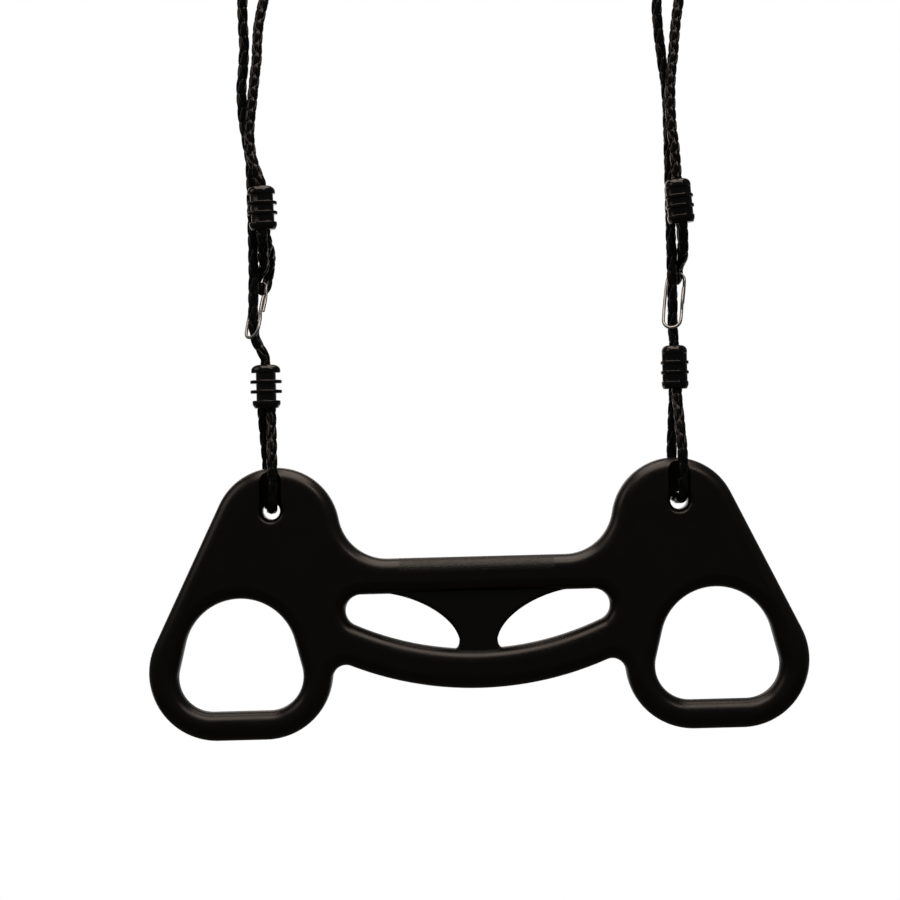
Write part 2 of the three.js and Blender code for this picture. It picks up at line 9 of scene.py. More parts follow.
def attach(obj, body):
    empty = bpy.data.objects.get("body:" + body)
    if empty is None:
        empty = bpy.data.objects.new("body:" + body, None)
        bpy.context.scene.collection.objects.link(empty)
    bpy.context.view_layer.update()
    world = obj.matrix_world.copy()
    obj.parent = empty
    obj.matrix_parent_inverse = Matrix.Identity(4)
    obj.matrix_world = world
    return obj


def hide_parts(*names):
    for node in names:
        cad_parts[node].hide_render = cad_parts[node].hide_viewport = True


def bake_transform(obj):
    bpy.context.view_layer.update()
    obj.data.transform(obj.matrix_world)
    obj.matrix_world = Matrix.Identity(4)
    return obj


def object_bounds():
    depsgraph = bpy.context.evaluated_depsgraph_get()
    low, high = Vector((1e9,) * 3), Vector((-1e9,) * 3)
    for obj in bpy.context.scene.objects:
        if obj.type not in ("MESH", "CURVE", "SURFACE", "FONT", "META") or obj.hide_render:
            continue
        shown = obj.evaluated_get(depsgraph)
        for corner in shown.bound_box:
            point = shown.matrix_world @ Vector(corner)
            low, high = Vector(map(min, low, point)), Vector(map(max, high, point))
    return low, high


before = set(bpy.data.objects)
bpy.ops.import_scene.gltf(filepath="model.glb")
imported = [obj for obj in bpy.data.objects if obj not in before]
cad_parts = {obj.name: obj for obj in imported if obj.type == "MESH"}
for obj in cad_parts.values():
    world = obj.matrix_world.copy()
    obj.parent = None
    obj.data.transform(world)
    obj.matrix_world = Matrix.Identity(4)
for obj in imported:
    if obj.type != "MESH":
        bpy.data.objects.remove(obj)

bl_info = {
    "name": "Trapeze Bar",
    "version": (1, 0, 0),
    "blender": (4, 5, 0),
    "location": "3D View > Sidebar > Trapeze",
    "description": "Builds a trapeze bar with ring grips, plaited ropes, clamps, links and rings",
    "category": "Add Mesh",
}

MM = 0.001
SIDES = {"left": -1, "right": 1}
FRAME_LOW, FRAME_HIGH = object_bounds()

# Layout of the model, millimetres: the origin is midway between the hanging rings
HOLE_SPACING = 371
RING_HEIGHT = 517

# Grip body in millimetres, from the line through its two rope holes; circles are x, z and radius
BODY_DEPTH = 28
PARTING_BAND = 1
FLASH_HALF = 0.35
GRIP_X = HOLE_SPACING / 2 + 31.6
LOBE = (HOLE_SPACING / 2 - 4, -18, 57.5)
INNER_CORNER = (GRIP_X - 22, -146, 62)
OUTER_CORNER = (GRIP_X + 22, -146, 62)
GRIP_HOLE = ((GRIP_X, -130, 51), (GRIP_X - 25.75, -150.5, 31), (GRIP_X + 25.75, -150.5, 31))
BAR_TOP, BAR_FOOT = -46, -78
BAR_FILLET = 44.5
LOWER_BAR_TOP, LOWER_BAR_WIDTH = -130, 36
WINDOW_END = (INNER_CORNER[0] - INNER_CORNER[2] - 27.1, BAR_FOOT - 14.5, 14.5)
NOTCH_RADIUS = 12

# The flat rim that closes each rounded face: its width, and the hair's breadth that it is raised
FACE_RIM, FACE_RISE = 0.6, 0.004

# Web across the window in millimetres: half-widths at its top and at its foot, and the foot's flare
WEB_TOP, WEB_FOOT = 80, 17.5
WEB_FOOT_HEIGHT, WEB_FLARE, WEB_ROOT = 9, 6.5, 7
WEB_EDGE = 3
WEB_HANDLES = ((0.928, 0.523), (0.448, 0.114))

# Rope hole in millimetres: its bore, half of that's straight length, how far the funnel widens and
# how far the hole lies above the line, then the groove that leads up from it
BORE_RADIUS, BORE_HALF, FUNNEL_REACH, BORE_RISE = 7.9, 5, 5.6, 0.6
GROOVE_RADIUS, GROOVE_DEPTH = 12.6, 5
CUT_OVERRUN = 4

# Rope clamp in millimetres: pairs are half-widths, along the rope pair and across it
CLAMP_HEIGHT = 39.9
CLAMP_FOOT, CLAMP_BASE, CLAMP_CORE = (10.3, 10.5), (12.9, 12.35), (9.2, 11.5)
CLAMP_BASE_HEIGHT, CLAMP_BASE_EDGE = 7.1, 0.9
CLAMP_FLANGE, CLAMP_FLANGES = (14.5, 12.9), (15.1, 24.1)
CLAMP_FLANGE_HALF, CLAMP_FLANGE_TIP, CLAMP_FILLET = 1.6, 0.8, 0.4
CLAMP_DOME, CLAMP_DOME_TOP = (13.4, 11.7), (6.4, 6.2)
CLAMP_DOME_HEIGHT, CLAMP_DOME_SIDE, CLAMP_DOME_EDGE = 7.7, 2.4, 0.9
CLAMP_LEDGE = 0.02

# Wire link in millimetres: its loop, the lap of its two ends and how far down the strand crosses it
LINK_WIDTH, LINK_LENGTH = 16, 56
LINK_LAP_LOW, LINK_LAP_HIGH, LINK_LAP_RUN, LINK_LAP_GAP = 16, 30, 8, 0.3
LINK_PASS_DROP = 40
WIRE_STEP = 1.2

# Hanging ring in millimetres, and its weld as shares of the bar's radius: its girth and its length
RING_RADIUS, RING_OUTWARD = 25, 4.1
WELD_GIRTH, WELD_LENGTH = 1.09, 0.45

# The photograph's framing in millimetres: the point at its centre and its width there
PHOTO_CENTRE = (-21.5, -465.4)
PHOTO_WIDTH = 821
LENS = 85
SENSOR = 36
PHOTO_ROLL = radians(1.5)

# The stage in metres; each lamp: its place from the model's middle, size and share of the power
FLOOR_RADIUS = 1.6
LAMPS = {
    "Overhead softbox": ((0, -0.12, 1.1), (1.3, 1.6), 1),
    "Front lamp": ((1.05, -1.2, 1.25), (0.3, 0.3), 0.17),
    "Left side softbox": ((-1.2, -0.25, 0.6), (0.8, 0.8), 0.11),
    "Back fill": ((-0.5, 1.7, 0.4), (1.2, 1.2), 0.17),
}

# Rope routes in millimetres, from each side's rope hole: over the hanging ring
OVER_LEFT_RING = [
    (-14.15, 0, 475), (-14.15, 0, 483), (-14.15, 0, 492), (-12.8, 0, 497), (-9.1, 0, 500.7),
    (-4.1, 0, 502.05), (0.9, 0, 500.7), (4.6, 0, 497), (5.95, 0, 492), (5.95, 0, 483),
    (5.95, 0, 475),
]
OVER_RING = {"left": OVER_LEFT_RING, "right": [(-x, y, z) for x, y, z in reversed(OVER_LEFT_RING)]}

# From the hanging ring down to the upper clamp
RUNNING = {
    "left": [
        (5.95, 0, 474.7), (5.87, -0.1, 471), (4.9, -0.3, 465.5), (2.8, -0.8, 458), (-0.4, -2, 442),
        (-2, -3.2, 425), (-2.6, -4.2, 412), (-4.6, -5.4, 397), (-6.6, -6.4, 381), (-8.6, -7.4, 365),
        (-10.4, -8.2, 350), (-10.6, -8.8, 337), (-9.2, -9.6, 324), (-6.4, -10.5, 312.5),
        (-3, -11.1, 304), (-1.36, -11.2, 298.4), (-1.17, -11.2, 294.7),
    ],
    "right": [
        (14.15, 0, 474.7), (13.9, -0.1, 470), (12.9, -0.6, 460), (9.6, -1.8, 441), (7.2, -2.9, 423),
        (5.4, -4.2, 406), (3, -5.9, 390), (1.6, -7.4, 373), (1.3, -8.8, 356), (1.8, -10.4, 338),
        (3.6, -12.4, 320), (4.3, -13.5, 304), (4.72, -14, 295), (5.04, -14, 290.8),
    ],
}

# From the hanging ring through the link to the lower clamp
STANDING = {
    "left": [
        (-14.15, 0, 474.7), (-14.3, 0.1, 470), (-14.9, 0.5, 460), (-14.7, 1.3, 440),
        (-14.3, 2, 425), (-15.6, 2.8, 407), (-17.8, 3.3, 387), (-17.6, 3.6, 368), (-16.2, 3.9, 352),
        (-13.8, 4, 336), (-11.8, 4, 322), (-11.3, 4, 310), (-11.3, 4, 215), (-12.2, 4, 192),
        (-12.5, 4, 180), (-12.4, 4, 168), (-10.4, 3.4, 156), (-5.6, 2.5, 146.5), (-2.8, 2.1, 140),
        (-2.3, 2, 136.6), (-2.3, 2, 133.3),
    ],
    "right": [
        (-5.95, 0, 474.7), (-6.2, 0.1, 470), (-7.2, 0.5, 461), (-7.9, 1.2, 448), (-7.2, 2.1, 434),
        (-5.9, 2.9, 420), (-4.5, 3.6, 406), (-2.3, 4.2, 390), (-0.6, 4.7, 373), (0, 5, 350),
        (0, 5, 260), (0, 5, 185), (-0.3, 5.1, 168), (-0.4, 5.2, 158), (-0.2, 4.6, 150.5),
        (0.15, 3.6, 145), (0.2, 3.5, 141.3),
    ],
}

# From the upper clamp round the link's top wire and back
UPPER_EYE = {
    "left": [
        (1.3, -6.4, 255.1), (1.42, -6.4, 251.9), (2.6, -2, 244.6), (3.6, 7, 239), (3.6, 17, 231.5),
        (1.5, 24.6, 221), (-0.85, 26.7, 211), (-1.67, 24.6, 206.5), (-3.7, 21.5, 203.1),
        (-7, 17.7, 203.3), (-9.7, 15.5, 206.9), (-10.1, 16.2, 211.9), (-8, 14.6, 215.9),
        (-4.6, 11, 219.4), (-1.6, 4.4, 223.6), (-1, -4.5, 231), (-0.8, -12.2, 240),
        (-0.8, -15.8, 248.2), (-0.78, -16, 251.9), (-0.9, -16, 255.1),
    ],
    "right": [
        (8.1, -9.1, 251.3), (8.35, -9.1, 248.2), (9.2, -4.6, 241.2), (10.2, 5.2, 236),
        (10.6, 15.5, 229), (9.3, 25.4, 219.5), (8.2, 28, 210.8), (7.45, 26.1, 206.2),
        (6.3, 22.6, 202.7), (4.9, 17.8, 202.9), (4.1, 14.4, 206.5), (4.35, 14.5, 211.5),
        (6.4, 12.8, 215.4), (9.3, 9, 218.8), (10.2, 2.2, 223.3), (9.8, -6.6, 230),
        (9.2, -14.3, 238.3), (8.5, -18.4, 244.8), (8.35, -18.9, 248.2), (8.1, -18.9, 251.3),
    ],
}

# From the lower clamp down the front, through the rope hole and up the back
LOWER_EYE = {
    "left": [
        (1.7, -0.8, 93.7), (1.7, -1, 88), (2.3, -7.6, 66), (2.7, -14.2, 44), (2.8, -15.2, 32),
        (2.8, -15.2, 12), (2.6, -13.9, 7.2), (1.9, -10.3, 3.6), (1.1, -5.5, 2.3), (0, 0, 2.3),
        (-1.4, 5.5, 2.3), (-2.7, 10.3, 3.6), (-3.7, 13.9, 7.2), (-4, 15.2, 12), (-4, 15.2, 32),
        (-4.3, 14.5, 44), (-5.4, 10.4, 66), (-6.3, 5, 88), (-6.3, 4.8, 93.7),
    ],
    "right": [
        (1.2, -1.3, 101.7), (1.2, -1.5, 96), (2.3, -8, 72), (3.4, -14.4, 46), (3.6, -15.2, 33),
        (3.6, -15.2, 12), (3.3, -13.9, 7.2), (2.4, -10.3, 3.6), (1.3, -5.5, 2.3), (0, 0, 2.3),
        (-1.3, 5.5, 2.3), (-2.4, 10.3, 3.6), (-3.3, 13.9, 7.2), (-3.6, 15.2, 12), (-3.6, 15.2, 33),
        (-3.4, 14.6, 46), (-2.1, 11.8, 72), (-0.8, 8.4, 96), (-0.8, 8.3, 101.7),
    ],
}

# How a rope is drawn, in millimetres: the spacing of its points, and how far it runs into a clamp
ROPE_STEP = 1.15
TUCK = 2

# Shape of the plait, as shares of the rope's radius: where a strand runs, how far it rises over and
# dives under the others, and its own half-height and half-width. The outermost fibre is at 1.02.
RUN_SHARE, RISE_SHARE = 0.56, 0.12
HALF_HEIGHT_SHARE, HALF_WIDTH_SHARE = 0.34, 0.62
FILLER_SHARE = 0.5
FLOAT_SHAPE, FLOAT_SWELL = 1.6, 0.08
STRAND_PAIRS, STRAND_SIDES = 3, 12

# Heights above the rope hole, handed to give_way with each stretch of rope
STRAND_TOP, RUNNING_FOOT, STANDING_FOOT = 468, 300, 190
EYE_TOP, EYE_FOOT = 66, 16

# How each clamp sits: the centre of its foot from the rope hole, its turn and its lean in degrees
CLAMP_PLACES = {
    "left_upper_clamp": ((0.2, -11.2, 255.4), 50, -2),
    "left_lower_clamp": ((-2.3, 2, 94), 0, 0),
    "right_upper_clamp": ((8.1, -14, 251.6), 90, -4.5),
    "right_lower_clamp": ((0.2, 3.5, 102), 90, 0),
}

# How each link hangs: where the strand crosses it, its turn and its lean in degrees. The left one
# stands a little aside, so that the strand slides clear of its wire.
LINK_PLACES = {"left": ((-12.1, 4, 173.2), 45, -10), "right": ((0, 5, 172.4), 15, 2.6)}
LINK_TILT = 24

# Names of the bodies that the rope over each ring and the lower clamps move with
ROPE_TOPS = "rope_tops"
LOWER_ROPES = "lower_ropes"

# Fineness of the modelling, millimetres: how far a chord may leave its arc, and what counts as one
# point when a drawn outline, and when a finished solid, is merged
CHORD_ERROR = 0.04
OUTLINE_MERGE, SOLID_MERGE = 0.005, 0.002
CURVE_PIECES = 24

# How finely rounds are drawn: the widest turn in one step of an outline and of its holes, then the
# numbers of steps of the rounded edges, of the web's flare and side, and of the rope hole
OUTLINE_TURN, HOLE_TURN = radians(5), radians(6)
EDGE_STEPS, WEB_EDGE_STEPS, FLARE_STEPS, SWEEP_STEPS = 9, 5, 8, 40
FUNNEL_STEPS, BORE_STEPS = 12, 72

# Between these values lies nearly all of a noise pattern
NOISE_RANGE = (0.3, 0.7)


def linear(hex_colour):
    """An sRGB hex colour as the linear red, green, blue and alpha that shaders use."""
    parts = [int(hex_colour[i:i + 2], 16) / 255 for i in (1, 3, 5)]
    return [c / 12.92 if c <= 0.04045 else ((c + 0.055) / 1.055) ** 2.4 for c in parts] + [1.0]


def colour_property(name, description, hex_colour):
    return bpy.props.FloatVectorProperty(
        name=name, description=description, subtype="COLOR", size=4, min=0, max=1,
        default=linear(hex_colour),
    )


def length_property(name, description, millimetres):
    return bpy.props.FloatProperty(
        name=name, description=description, default=millimetres * MM, min=0, unit="LENGTH",
        subtype="DISTANCE",
    )


class TrapezeRopeSettings(bpy.types.PropertyGroup):
    diameter: length_property("Diameter", "Thickness of the plaited rope", 9.5)
    stitch: length_property("Stitch", "Length in which a strand dives under and comes up again", 26)
    colour: colour_property("Colour", "Colour of the rope's fibre", "#060605")


class TrapezeBodySettings(bpy.types.PropertyGroup):
    edge_inset: length_property("Edge Inset", "How far the round edge reaches over the face", 11.8)
    web_thickness: length_property("Web Thickness", "Thickness of the recessed web", 12)
    flash_height: length_property("Flash Height", "Height of the mould's parting line", 0.12)
    colour: colour_property("Colour", "Colour of the moulded plastic", "#0c0a05")


class TrapezeFittingSettings(bpy.types.PropertyGroup):
    clamp_colour: colour_property("Clamp Colour", "Colour of the rope clamps", "#050505")
    wire_diameter: length_property("Wire Diameter", "Thickness of the link's wire", 3)
    wire_colour: colour_property("Wire Colour", "Colour of the link's zinc plating", "#b4b6b6")
    ring_wire: length_property("Ring Wire", "Thickness of the hanging ring's bar", 10)
    ring_colour: colour_property("Ring Colour", "Colour of the ring's zinc plating", "#a9acad")


class TrapezeStageSettings(bpy.types.PropertyGroup):
    floor_drop: length_property("Floor Drop", "How far the floor lies below the bar", 240)
    floor_colour: colour_property("Floor Colour", "Colour of the floor", "#f2f2f0")
    bounce_colour: colour_property("Bounce Colour", "Colour of the light off the floor", "#4c4c4a")
    lamp_colour: colour_property("Lamp Colour", "Colour of the lamps' light", "#ffeadb")
    key_power: bpy.props.FloatProperty(
        name="Key Power", description="Power of the overhead softbox, in watts", default=16, min=0,
        unit="POWER",
    )
    world_strength: bpy.props.FloatProperty(
        name="World Strength", description="Strength of the light all round", default=0.06, min=0,
    )


class TrapezeSettings(bpy.types.PropertyGroup):
    rope: bpy.props.PointerProperty(type=TrapezeRopeSettings)
    body: bpy.props.PointerProperty(type=TrapezeBodySettings)
    fittings: bpy.props.PointerProperty(type=TrapezeFittingSettings)
    stage: bpy.props.PointerProperty(type=TrapezeStageSettings)


def add_object(name, data):
    piece = bpy.data.objects.new(name, data)
    bpy.context.scene.collection.objects.link(piece)
    return piece


def edit_mode():
    bpy.ops.object.mode_set(mode="EDIT")


def object_mode():
    bpy.ops.object.mode_set(mode="OBJECT")


def deselect_everything():
    if bpy.context.mode != "OBJECT":
        object_mode()
    bpy.ops.object.select_all(action="DESELECT")


def make_active(piece):
    deselect_everything()
    piece.select_set(True)
    bpy.context.view_layer.objects.active = piece


def add_node(tree, kind, inputs=(), **settings):
    """Adds a shader node, sets its properties and feeds its inputs.

    Inputs go by name, or in their order where they are a list. Each is a value, another node's
    output, or a whole node, which stands for its first output."""
    node = tree.nodes.new("ShaderNode" + kind)
    for name, value in settings.items():
        setattr(node, name, value)
    if isinstance(inputs, dict):
        fed = [(node.inputs[name], value) for name, value in inputs.items()]
    else:
        fed = zip([socket for socket in node.inputs if socket.enabled], inputs)
    for socket, value in fed:
        if isinstance(value, bpy.types.Node):
            value = next(output for output in value.outputs if output.enabled)
        if isinstance(value, bpy.types.NodeSocket):
            tree.links.new(value, socket)
        else:
            socket.default_value = value
    return node


def new_material(name):
    """An empty node material, and add_node for its own tree."""
    material = bpy.data.materials.new(name)
    material.use_nodes = True
    material.node_tree.nodes.clear()
    return material, partial(add_node, material.node_tree)


def give_material(piece, material):
    piece.data.materials.clear()
    piece.data.materials.append(material)


def clouded_surface(add, colour, cloud, shades, inputs):
    """Ends a material: its colour, darker and lighter as a cloudy pattern goes, on its shader."""
    shade = add("MapRange", [cloud, *NOISE_RANGE, *shades])
    tint = add("Mix", [1.0, tuple(colour), shade], data_type="RGBA", blend_type="MULTIPLY")
    shader = add("BsdfPrincipled", {"Base Color": tint, **inputs})
    add("OutputMaterial", {"Surface": shader})


# Moulded polyethylene: a satin skin with the mould's fine grain, duller where it is cut for grip.
# The grain and the scuffs are too fine to show, so they are drawn as coarse as they need to be.
def moulded_polyethylene(colour):
    grain_mm, ripple_mm, stipple_mm = 0.9, 22, 1.7
    scuff_length_mm, scuffs_per_mm, scuff_lean = 6.25, 1.4, 0.6
    material, add = new_material("Moulded polyethylene")
    place = add("TexCoord").outputs["Object"]
    grain = add("TexNoise", {"Vector": place, "Scale": 1 / (grain_mm * MM), "Detail": 2})
    ripple = add("TexNoise", {"Vector": place, "Scale": 1 / (ripple_mm * MM), "Detail": 3})
    along = 1 / (scuff_length_mm * MM)
    thinned = (along, along, scuffs_per_mm / MM)
    leaning = add("Mapping", {"Vector": place, "Rotation": (0, scuff_lean, 0), "Scale": thinned})
    scuffs = add("TexNoise", {"Vector": leaning, "Scale": 1, "Detail": 3})

    field = grip_field(add, place)
    cells = add("TexVoronoi", {"Vector": place, "Scale": 1 / (stipple_mm * MM), "Randomness": 0.75})
    dots = add("MapRange", [cells, 0.15, 0.5, 1, 0])
    raised = add("Math", [dots, field], operation="MULTIPLY")

    satin = add("MapRange", [ripple, *NOISE_RANGE, 0.28, 0.35])
    worn = add("MapRange", [scuffs, 0.62, 0.78, 0, 0.12])
    rough = add("Math", [satin, worn], operation="ADD")
    matt = add("Math", [field, 0.16, rough], operation="MULTIPLY_ADD")
    skin = add("Bump", {"Height": grain, "Strength": 0.35, "Distance": 0.05 * MM})
    bump = add("Bump", {"Height": raised, "Strength": 0.45, "Distance": 0.35 * MM, "Normal": skin})
    inputs = {"Roughness": matt, "Normal": bump, "IOR": 1.5}
    clouded_surface(add, colour, ripple, (0.82, 1.12), inputs)
    return material


def grip_field(add, place):
    """The share of grip texture: 1 along the upper edge of the straight bar, 0 elsewhere."""
    half_length_mm, top_mm, bottom_mm, fade_mm = 71, -562, -576, 1.2
    axes = add("SeparateXYZ", [place])
    across = add("Math", [axes.outputs["X"]], operation="ABSOLUTE")
    inside, below, above = (
        add("MapRange", [axis, start * MM, (start + fade_mm) * MM, *shares])
        for axis, start, shares in (
            (across, half_length_mm - fade_mm, (1, 0)),
            (axes.outputs["Z"], top_mm - fade_mm, (1, 0)),
            (axes.outputs["Z"], bottom_mm, (0, 1)),
        )
    )
    band = add("Math", [below, above], operation="MULTIPLY")
    return add("Math", [inside, band], operation="MULTIPLY")


# Plaited polypropylene: smooth drawn filaments along each strand, so a stitch shines at its crest.
# Real filaments are finer than 0.1 mm, too fine to show, so they are drawn coarser.
def plaited_polypropylene(colour):
    yarns_round_strand, yarn_lay_mm, yarn_relief = 11, 42, 0.35
    strand_girth_mm, fibre_mm, fibre_length_mm = 12, 0.35, 5
    material, add = new_material("Plaited polypropylene")
    place = add("UVMap", uv_map="Strand")
    axes = add("SeparateXYZ", [place])
    yarns = yarns_round_strand * 2 * pi
    turn = add("Math", [axes.outputs["X"], yarns], operation="MULTIPLY")
    lay = add("Math", [axes.outputs["Y"], yarns / yarn_lay_mm, turn], operation="MULTIPLY_ADD")
    ridges = add("Math", [lay], operation="SINE")
    drawn_out = (strand_girth_mm / fibre_mm, 1 / fibre_length_mm, 1)
    stretched = add("Mapping", {"Vector": place, "Scale": drawn_out})
    fibres = add("TexNoise", {"Vector": stretched, "Scale": 1, "Detail": 4})
    relief = add("Math", [ridges, yarn_relief, fibres], operation="MULTIPLY_ADD")
    rough = add("MapRange", [fibres, *NOISE_RANGE, 0.17, 0.27])
    bump = add("Bump", {"Height": relief, "Strength": 0.1, "Distance": 0.2 * MM})
    inputs = {"Roughness": rough, "Normal": bump, "IOR": 1.5, "Specular IOR Level": 0.38}
    clouded_surface(add, colour, fibres, (0.6, 1.5), inputs)
    return material


# Injection-moulded nylon: hard glossy black, in slow waves where it shrank, with hairline rubs.
# The rubs are too fine to show, so they are drawn coarser.
def moulded_nylon(colour):
    shrink_mm, rub_mm = 9, 0.5
    material, add = new_material("Moulded nylon")
    place = add("TexCoord").outputs["Object"]
    waves = add("TexNoise", {"Vector": place, "Scale": 1 / (shrink_mm * MM), "Detail": 1})
    rubs = add("TexNoise", {"Vector": place, "Scale": 1 / (rub_mm * MM), "Detail": 3})
    rough = add("MapRange", [rubs, 0.4, 0.75, 0.14, 0.28])
    bump = add("Bump", {"Height": waves, "Strength": 0.5, "Distance": 0.3 * MM})
    inputs = {"Roughness": rough, "Normal": bump, "IOR": 1.53}
    clouded_surface(add, colour, waves, (0.85, 1.15), inputs)
    return material


# Zinc-plated steel: bright and a little cloudy, the drawn metal's fine marks under its plating.
# The marks are too fine to show, so they are drawn coarser.
def zinc_plated_steel(name, colour, roughness, cloud_mm):
    drawn_mm = 0.4
    material, add = new_material(name)
    place = add("TexCoord").outputs["Object"]
    clouds = add("TexNoise", {"Vector": place, "Scale": 1 / (cloud_mm * MM), "Detail": 4})
    marks = add("TexNoise", {"Vector": place, "Scale": 1 / (drawn_mm * MM), "Detail": 2})
    rough = add("MapRange", [clouds, *NOISE_RANGE, *roughness])
    bump = add("Bump", {"Height": marks, "Strength": 0.1, "Distance": 0.04 * MM})
    inputs = {"Roughness": rough, "Normal": bump, "Metallic": 1}
    clouded_surface(add, colour, clouds, (0.84, 1), inputs)
    return material


# Matt painted board: pale and even, and whiter towards its rim, so that it runs into the backdrop.
def matt_painted_board(colour, bounce):
    tooth_mm = 3
    rim_start, rim_end, rim_flattening = 0.2 * FLOOR_RADIUS, 0.42 * FLOOR_RADIUS, 2.1
    back_start, back_end = 0.3 * FLOOR_RADIUS, 0.8 * FLOOR_RADIUS
    material, add = new_material("Matt painted board")
    place = add("TexCoord").outputs["Object"]
    tooth = add("TexNoise", {"Vector": place, "Scale": 1 / (tooth_mm * MM), "Detail": 3})
    bump = add("Bump", {"Height": tooth, "Strength": 0.1, "Distance": 0.1 * MM})
    paint = add("Mix", [seen_directly(add, 0), tuple(bounce), tuple(colour)], data_type="RGBA")
    board = add("BsdfPrincipled", {"Base Color": paint, "Roughness": 0.85, "Normal": bump})
    white = add("Emission", {"Color": (1, 1, 1, 1), "Strength": 1})
    flat = add("Mapping", {"Vector": place, "Scale": (1, rim_flattening, 0)})
    reach = add("VectorMath", [flat], operation="LENGTH")
    rim = add("MapRange", [reach, rim_start, rim_end, 0.35, 1], interpolation_type="SMOOTHSTEP")
    depth = add("SeparateXYZ", [place]).outputs["Y"]
    behind = add("MapRange", [depth, back_start, back_end], interpolation_type="SMOOTHSTEP")
    share = add("Math", [rim, seen_directly(add, behind)], operation="MULTIPLY")
    add("OutputMaterial", {"Surface": add("MixShader", [share, board, white])})
    return material


def seen_directly(add, mirrored):
    """1 to the camera, also through a clear piece, the given share to mirrors, 0 to other light."""
    path = add("LightPath")
    shine = add("Math", [path.outputs["Is Glossy Ray"], mirrored], operation="MULTIPLY")
    clear = add("Math", [path.outputs["Is Transmission Ray"], shine], operation="MAXIMUM")
    return add("Math", [path.outputs["Is Camera Ray"], clear], operation="MAXIMUM")


def smooth_line(points, step):
    """Even points along the smooth centripetal curve through the given ones, both ends kept."""
    ends = [2 * points[0] - points[1], *points, 2 * points[-1] - points[-2]]
    fine = [points[0]]
    for before, start, end, after in zip(ends, ends[1:], ends[2:], ends[3:]):
        spans = ((before, start), (start, end), (end, after))
        g0, g1, g2 = (max(sqrt((b - a).length), 1e-4) for a, b in spans)
        leave = ((start - before) / g0 - (end - before) / (g0 + g1) + (end - start) / g1) * g1
        arrive = ((end - start) / g1 - (after - start) / (g1 + g2) + (after - end) / g2) * g1
        for k in range(1, CURVE_PIECES + 1):
            t = k / CURVE_PIECES
            fine.append(
                start * (2 * t ** 3 - 3 * t ** 2 + 1) + leave * (t ** 3 - 2 * t ** 2 + t)
                + end * (3 * t ** 2 - 2 * t ** 3) + arrive * (t ** 3 - t ** 2)
            )
    travel = [0.0]
    for a, b in zip(fine, fine[1:]):
        travel.append(travel[-1] + (b - a).length)
    count = max(2, round(travel[-1] / step))
    even, k = [], 0
    for i in range(count + 1):
        wanted = travel[-1] * i / count
        while k < len(fine) - 2 and travel[k + 1] < wanted:
            k += 1
        share = (wanted - travel[k]) / max(travel[k + 1] - travel[k], 1e-9)
        even.append(fine[k].lerp(fine[k + 1], share))
    return even


def line_frames(line):
    """A direction, a side and an up vector at each point of a line, carried without twisting."""
    neighbours = zip([line[0], *line[:-1]], [*line[1:], line[-1]])
    ahead = [(b - a).normalized() for a, b in neighbours]
    side = ahead[0].orthogonal().normalized()
    frames = []
    for before, here in zip([ahead[0], *ahead], ahead):
        side = before.rotation_difference(here) @ side
        side = (side - here * side.dot(here)).normalized()
        frames.append((here, side, here.cross(side)))
    return frames


def plait(name, line, frames, travel_start, radius, stitch):
    """One mesh of strands that wind both ways, over and under each other, round a soft filler."""
    verts, faces, uvs = [], [], []
    spacing = (line[1] - line[0]).length
    rows, sides = len(line), STRAND_SIDES
    angles = [2 * pi * j / sides for j in range(sides)]
    strands = [(direction, k) for direction in (1, -1) for k in range(STRAND_PAIRS)]
    for direction, k in [*strands, (0, 0)]:
        base = len(verts)
        for i, (centre, (_, side, up)) in enumerate(zip(line, frames)):
            travel = travel_start + i * spacing
            phase = 2 * pi * (k / STRAND_PAIRS + direction * travel / (STRAND_PAIRS * stitch))
            wave = tanh(FLOAT_SHAPE * cos(2 * pi * travel / stitch))
            lift = direction * wave / tanh(FLOAT_SHAPE)
            out = side * cos(phase) + up * sin(phase)
            across = up * cos(phase) - side * sin(phase)
            run = radius * (RUN_SHARE + RISE_SHARE * lift) * abs(direction)
            height = width = radius * FILLER_SHARE
            if direction:
                height = radius * HALF_HEIGHT_SHARE
                width = radius * HALF_WIDTH_SHARE * (1 + FLOAT_SWELL * lift)
            verts += [
                centre + out * (run + height * cos(a)) + across * width * sin(a)
                for a in angles
            ]
        for i in range(rows - 1):
            row = base + i * sides
            low, high = (travel_start + i * spacing) / MM, (travel_start + (i + 1) * spacing) / MM
            for j in range(sides):
                here, following = row + j, row + (j + 1) % sides
                faces.append((here, following, following + sides, here + sides))
                left, right = k + j / sides, k + (j + 1) / sides
                uvs += [(left, low), (right, low), (right, high), (left, high)]
        last = base + (rows - 1) * sides
        faces += [tuple(range(base + sides - 1, base - 1, -1)), tuple(range(last, last + sides))]
        uvs += [(k, travel_start / MM)] * (2 * sides)
    mesh = bpy.data.meshes.new(name)
    mesh.from_pydata(verts, [], faces)
    layer = mesh.uv_layers.new(name="Strand")
    layer.data.foreach_set("uv", [value for uv in uvs for value in uv])
    mesh.shade_smooth()
    return add_object(name, mesh)


# One-piece outlines: arcs round circles in turn, tangent to each; a negative radius is a hollow arc
def tangent_arcs(circles):
    """The arcs of a closed anticlockwise outline: centre x and z, radius, first angle and turn."""
    leaving = []
    for a, b in zip(circles, [*circles[1:], circles[0]]):
        distance = hypot(b[0] - a[0], b[1] - a[1])
        lean = acos(max(-1.0, min(1.0, (a[2] - b[2]) / distance)))
        leaving.append(atan2(b[1] - a[1], b[0] - a[0]) - lean)
    arcs = []
    for i, (x, z, radius) in enumerate(circles):
        hand = copysign(1, radius)
        turn = hand * ((hand * (leaving[i] - leaving[i - 1])) % (2 * pi))
        arcs.append((x, z, radius, leaving[i - 1], turn))
    return arcs


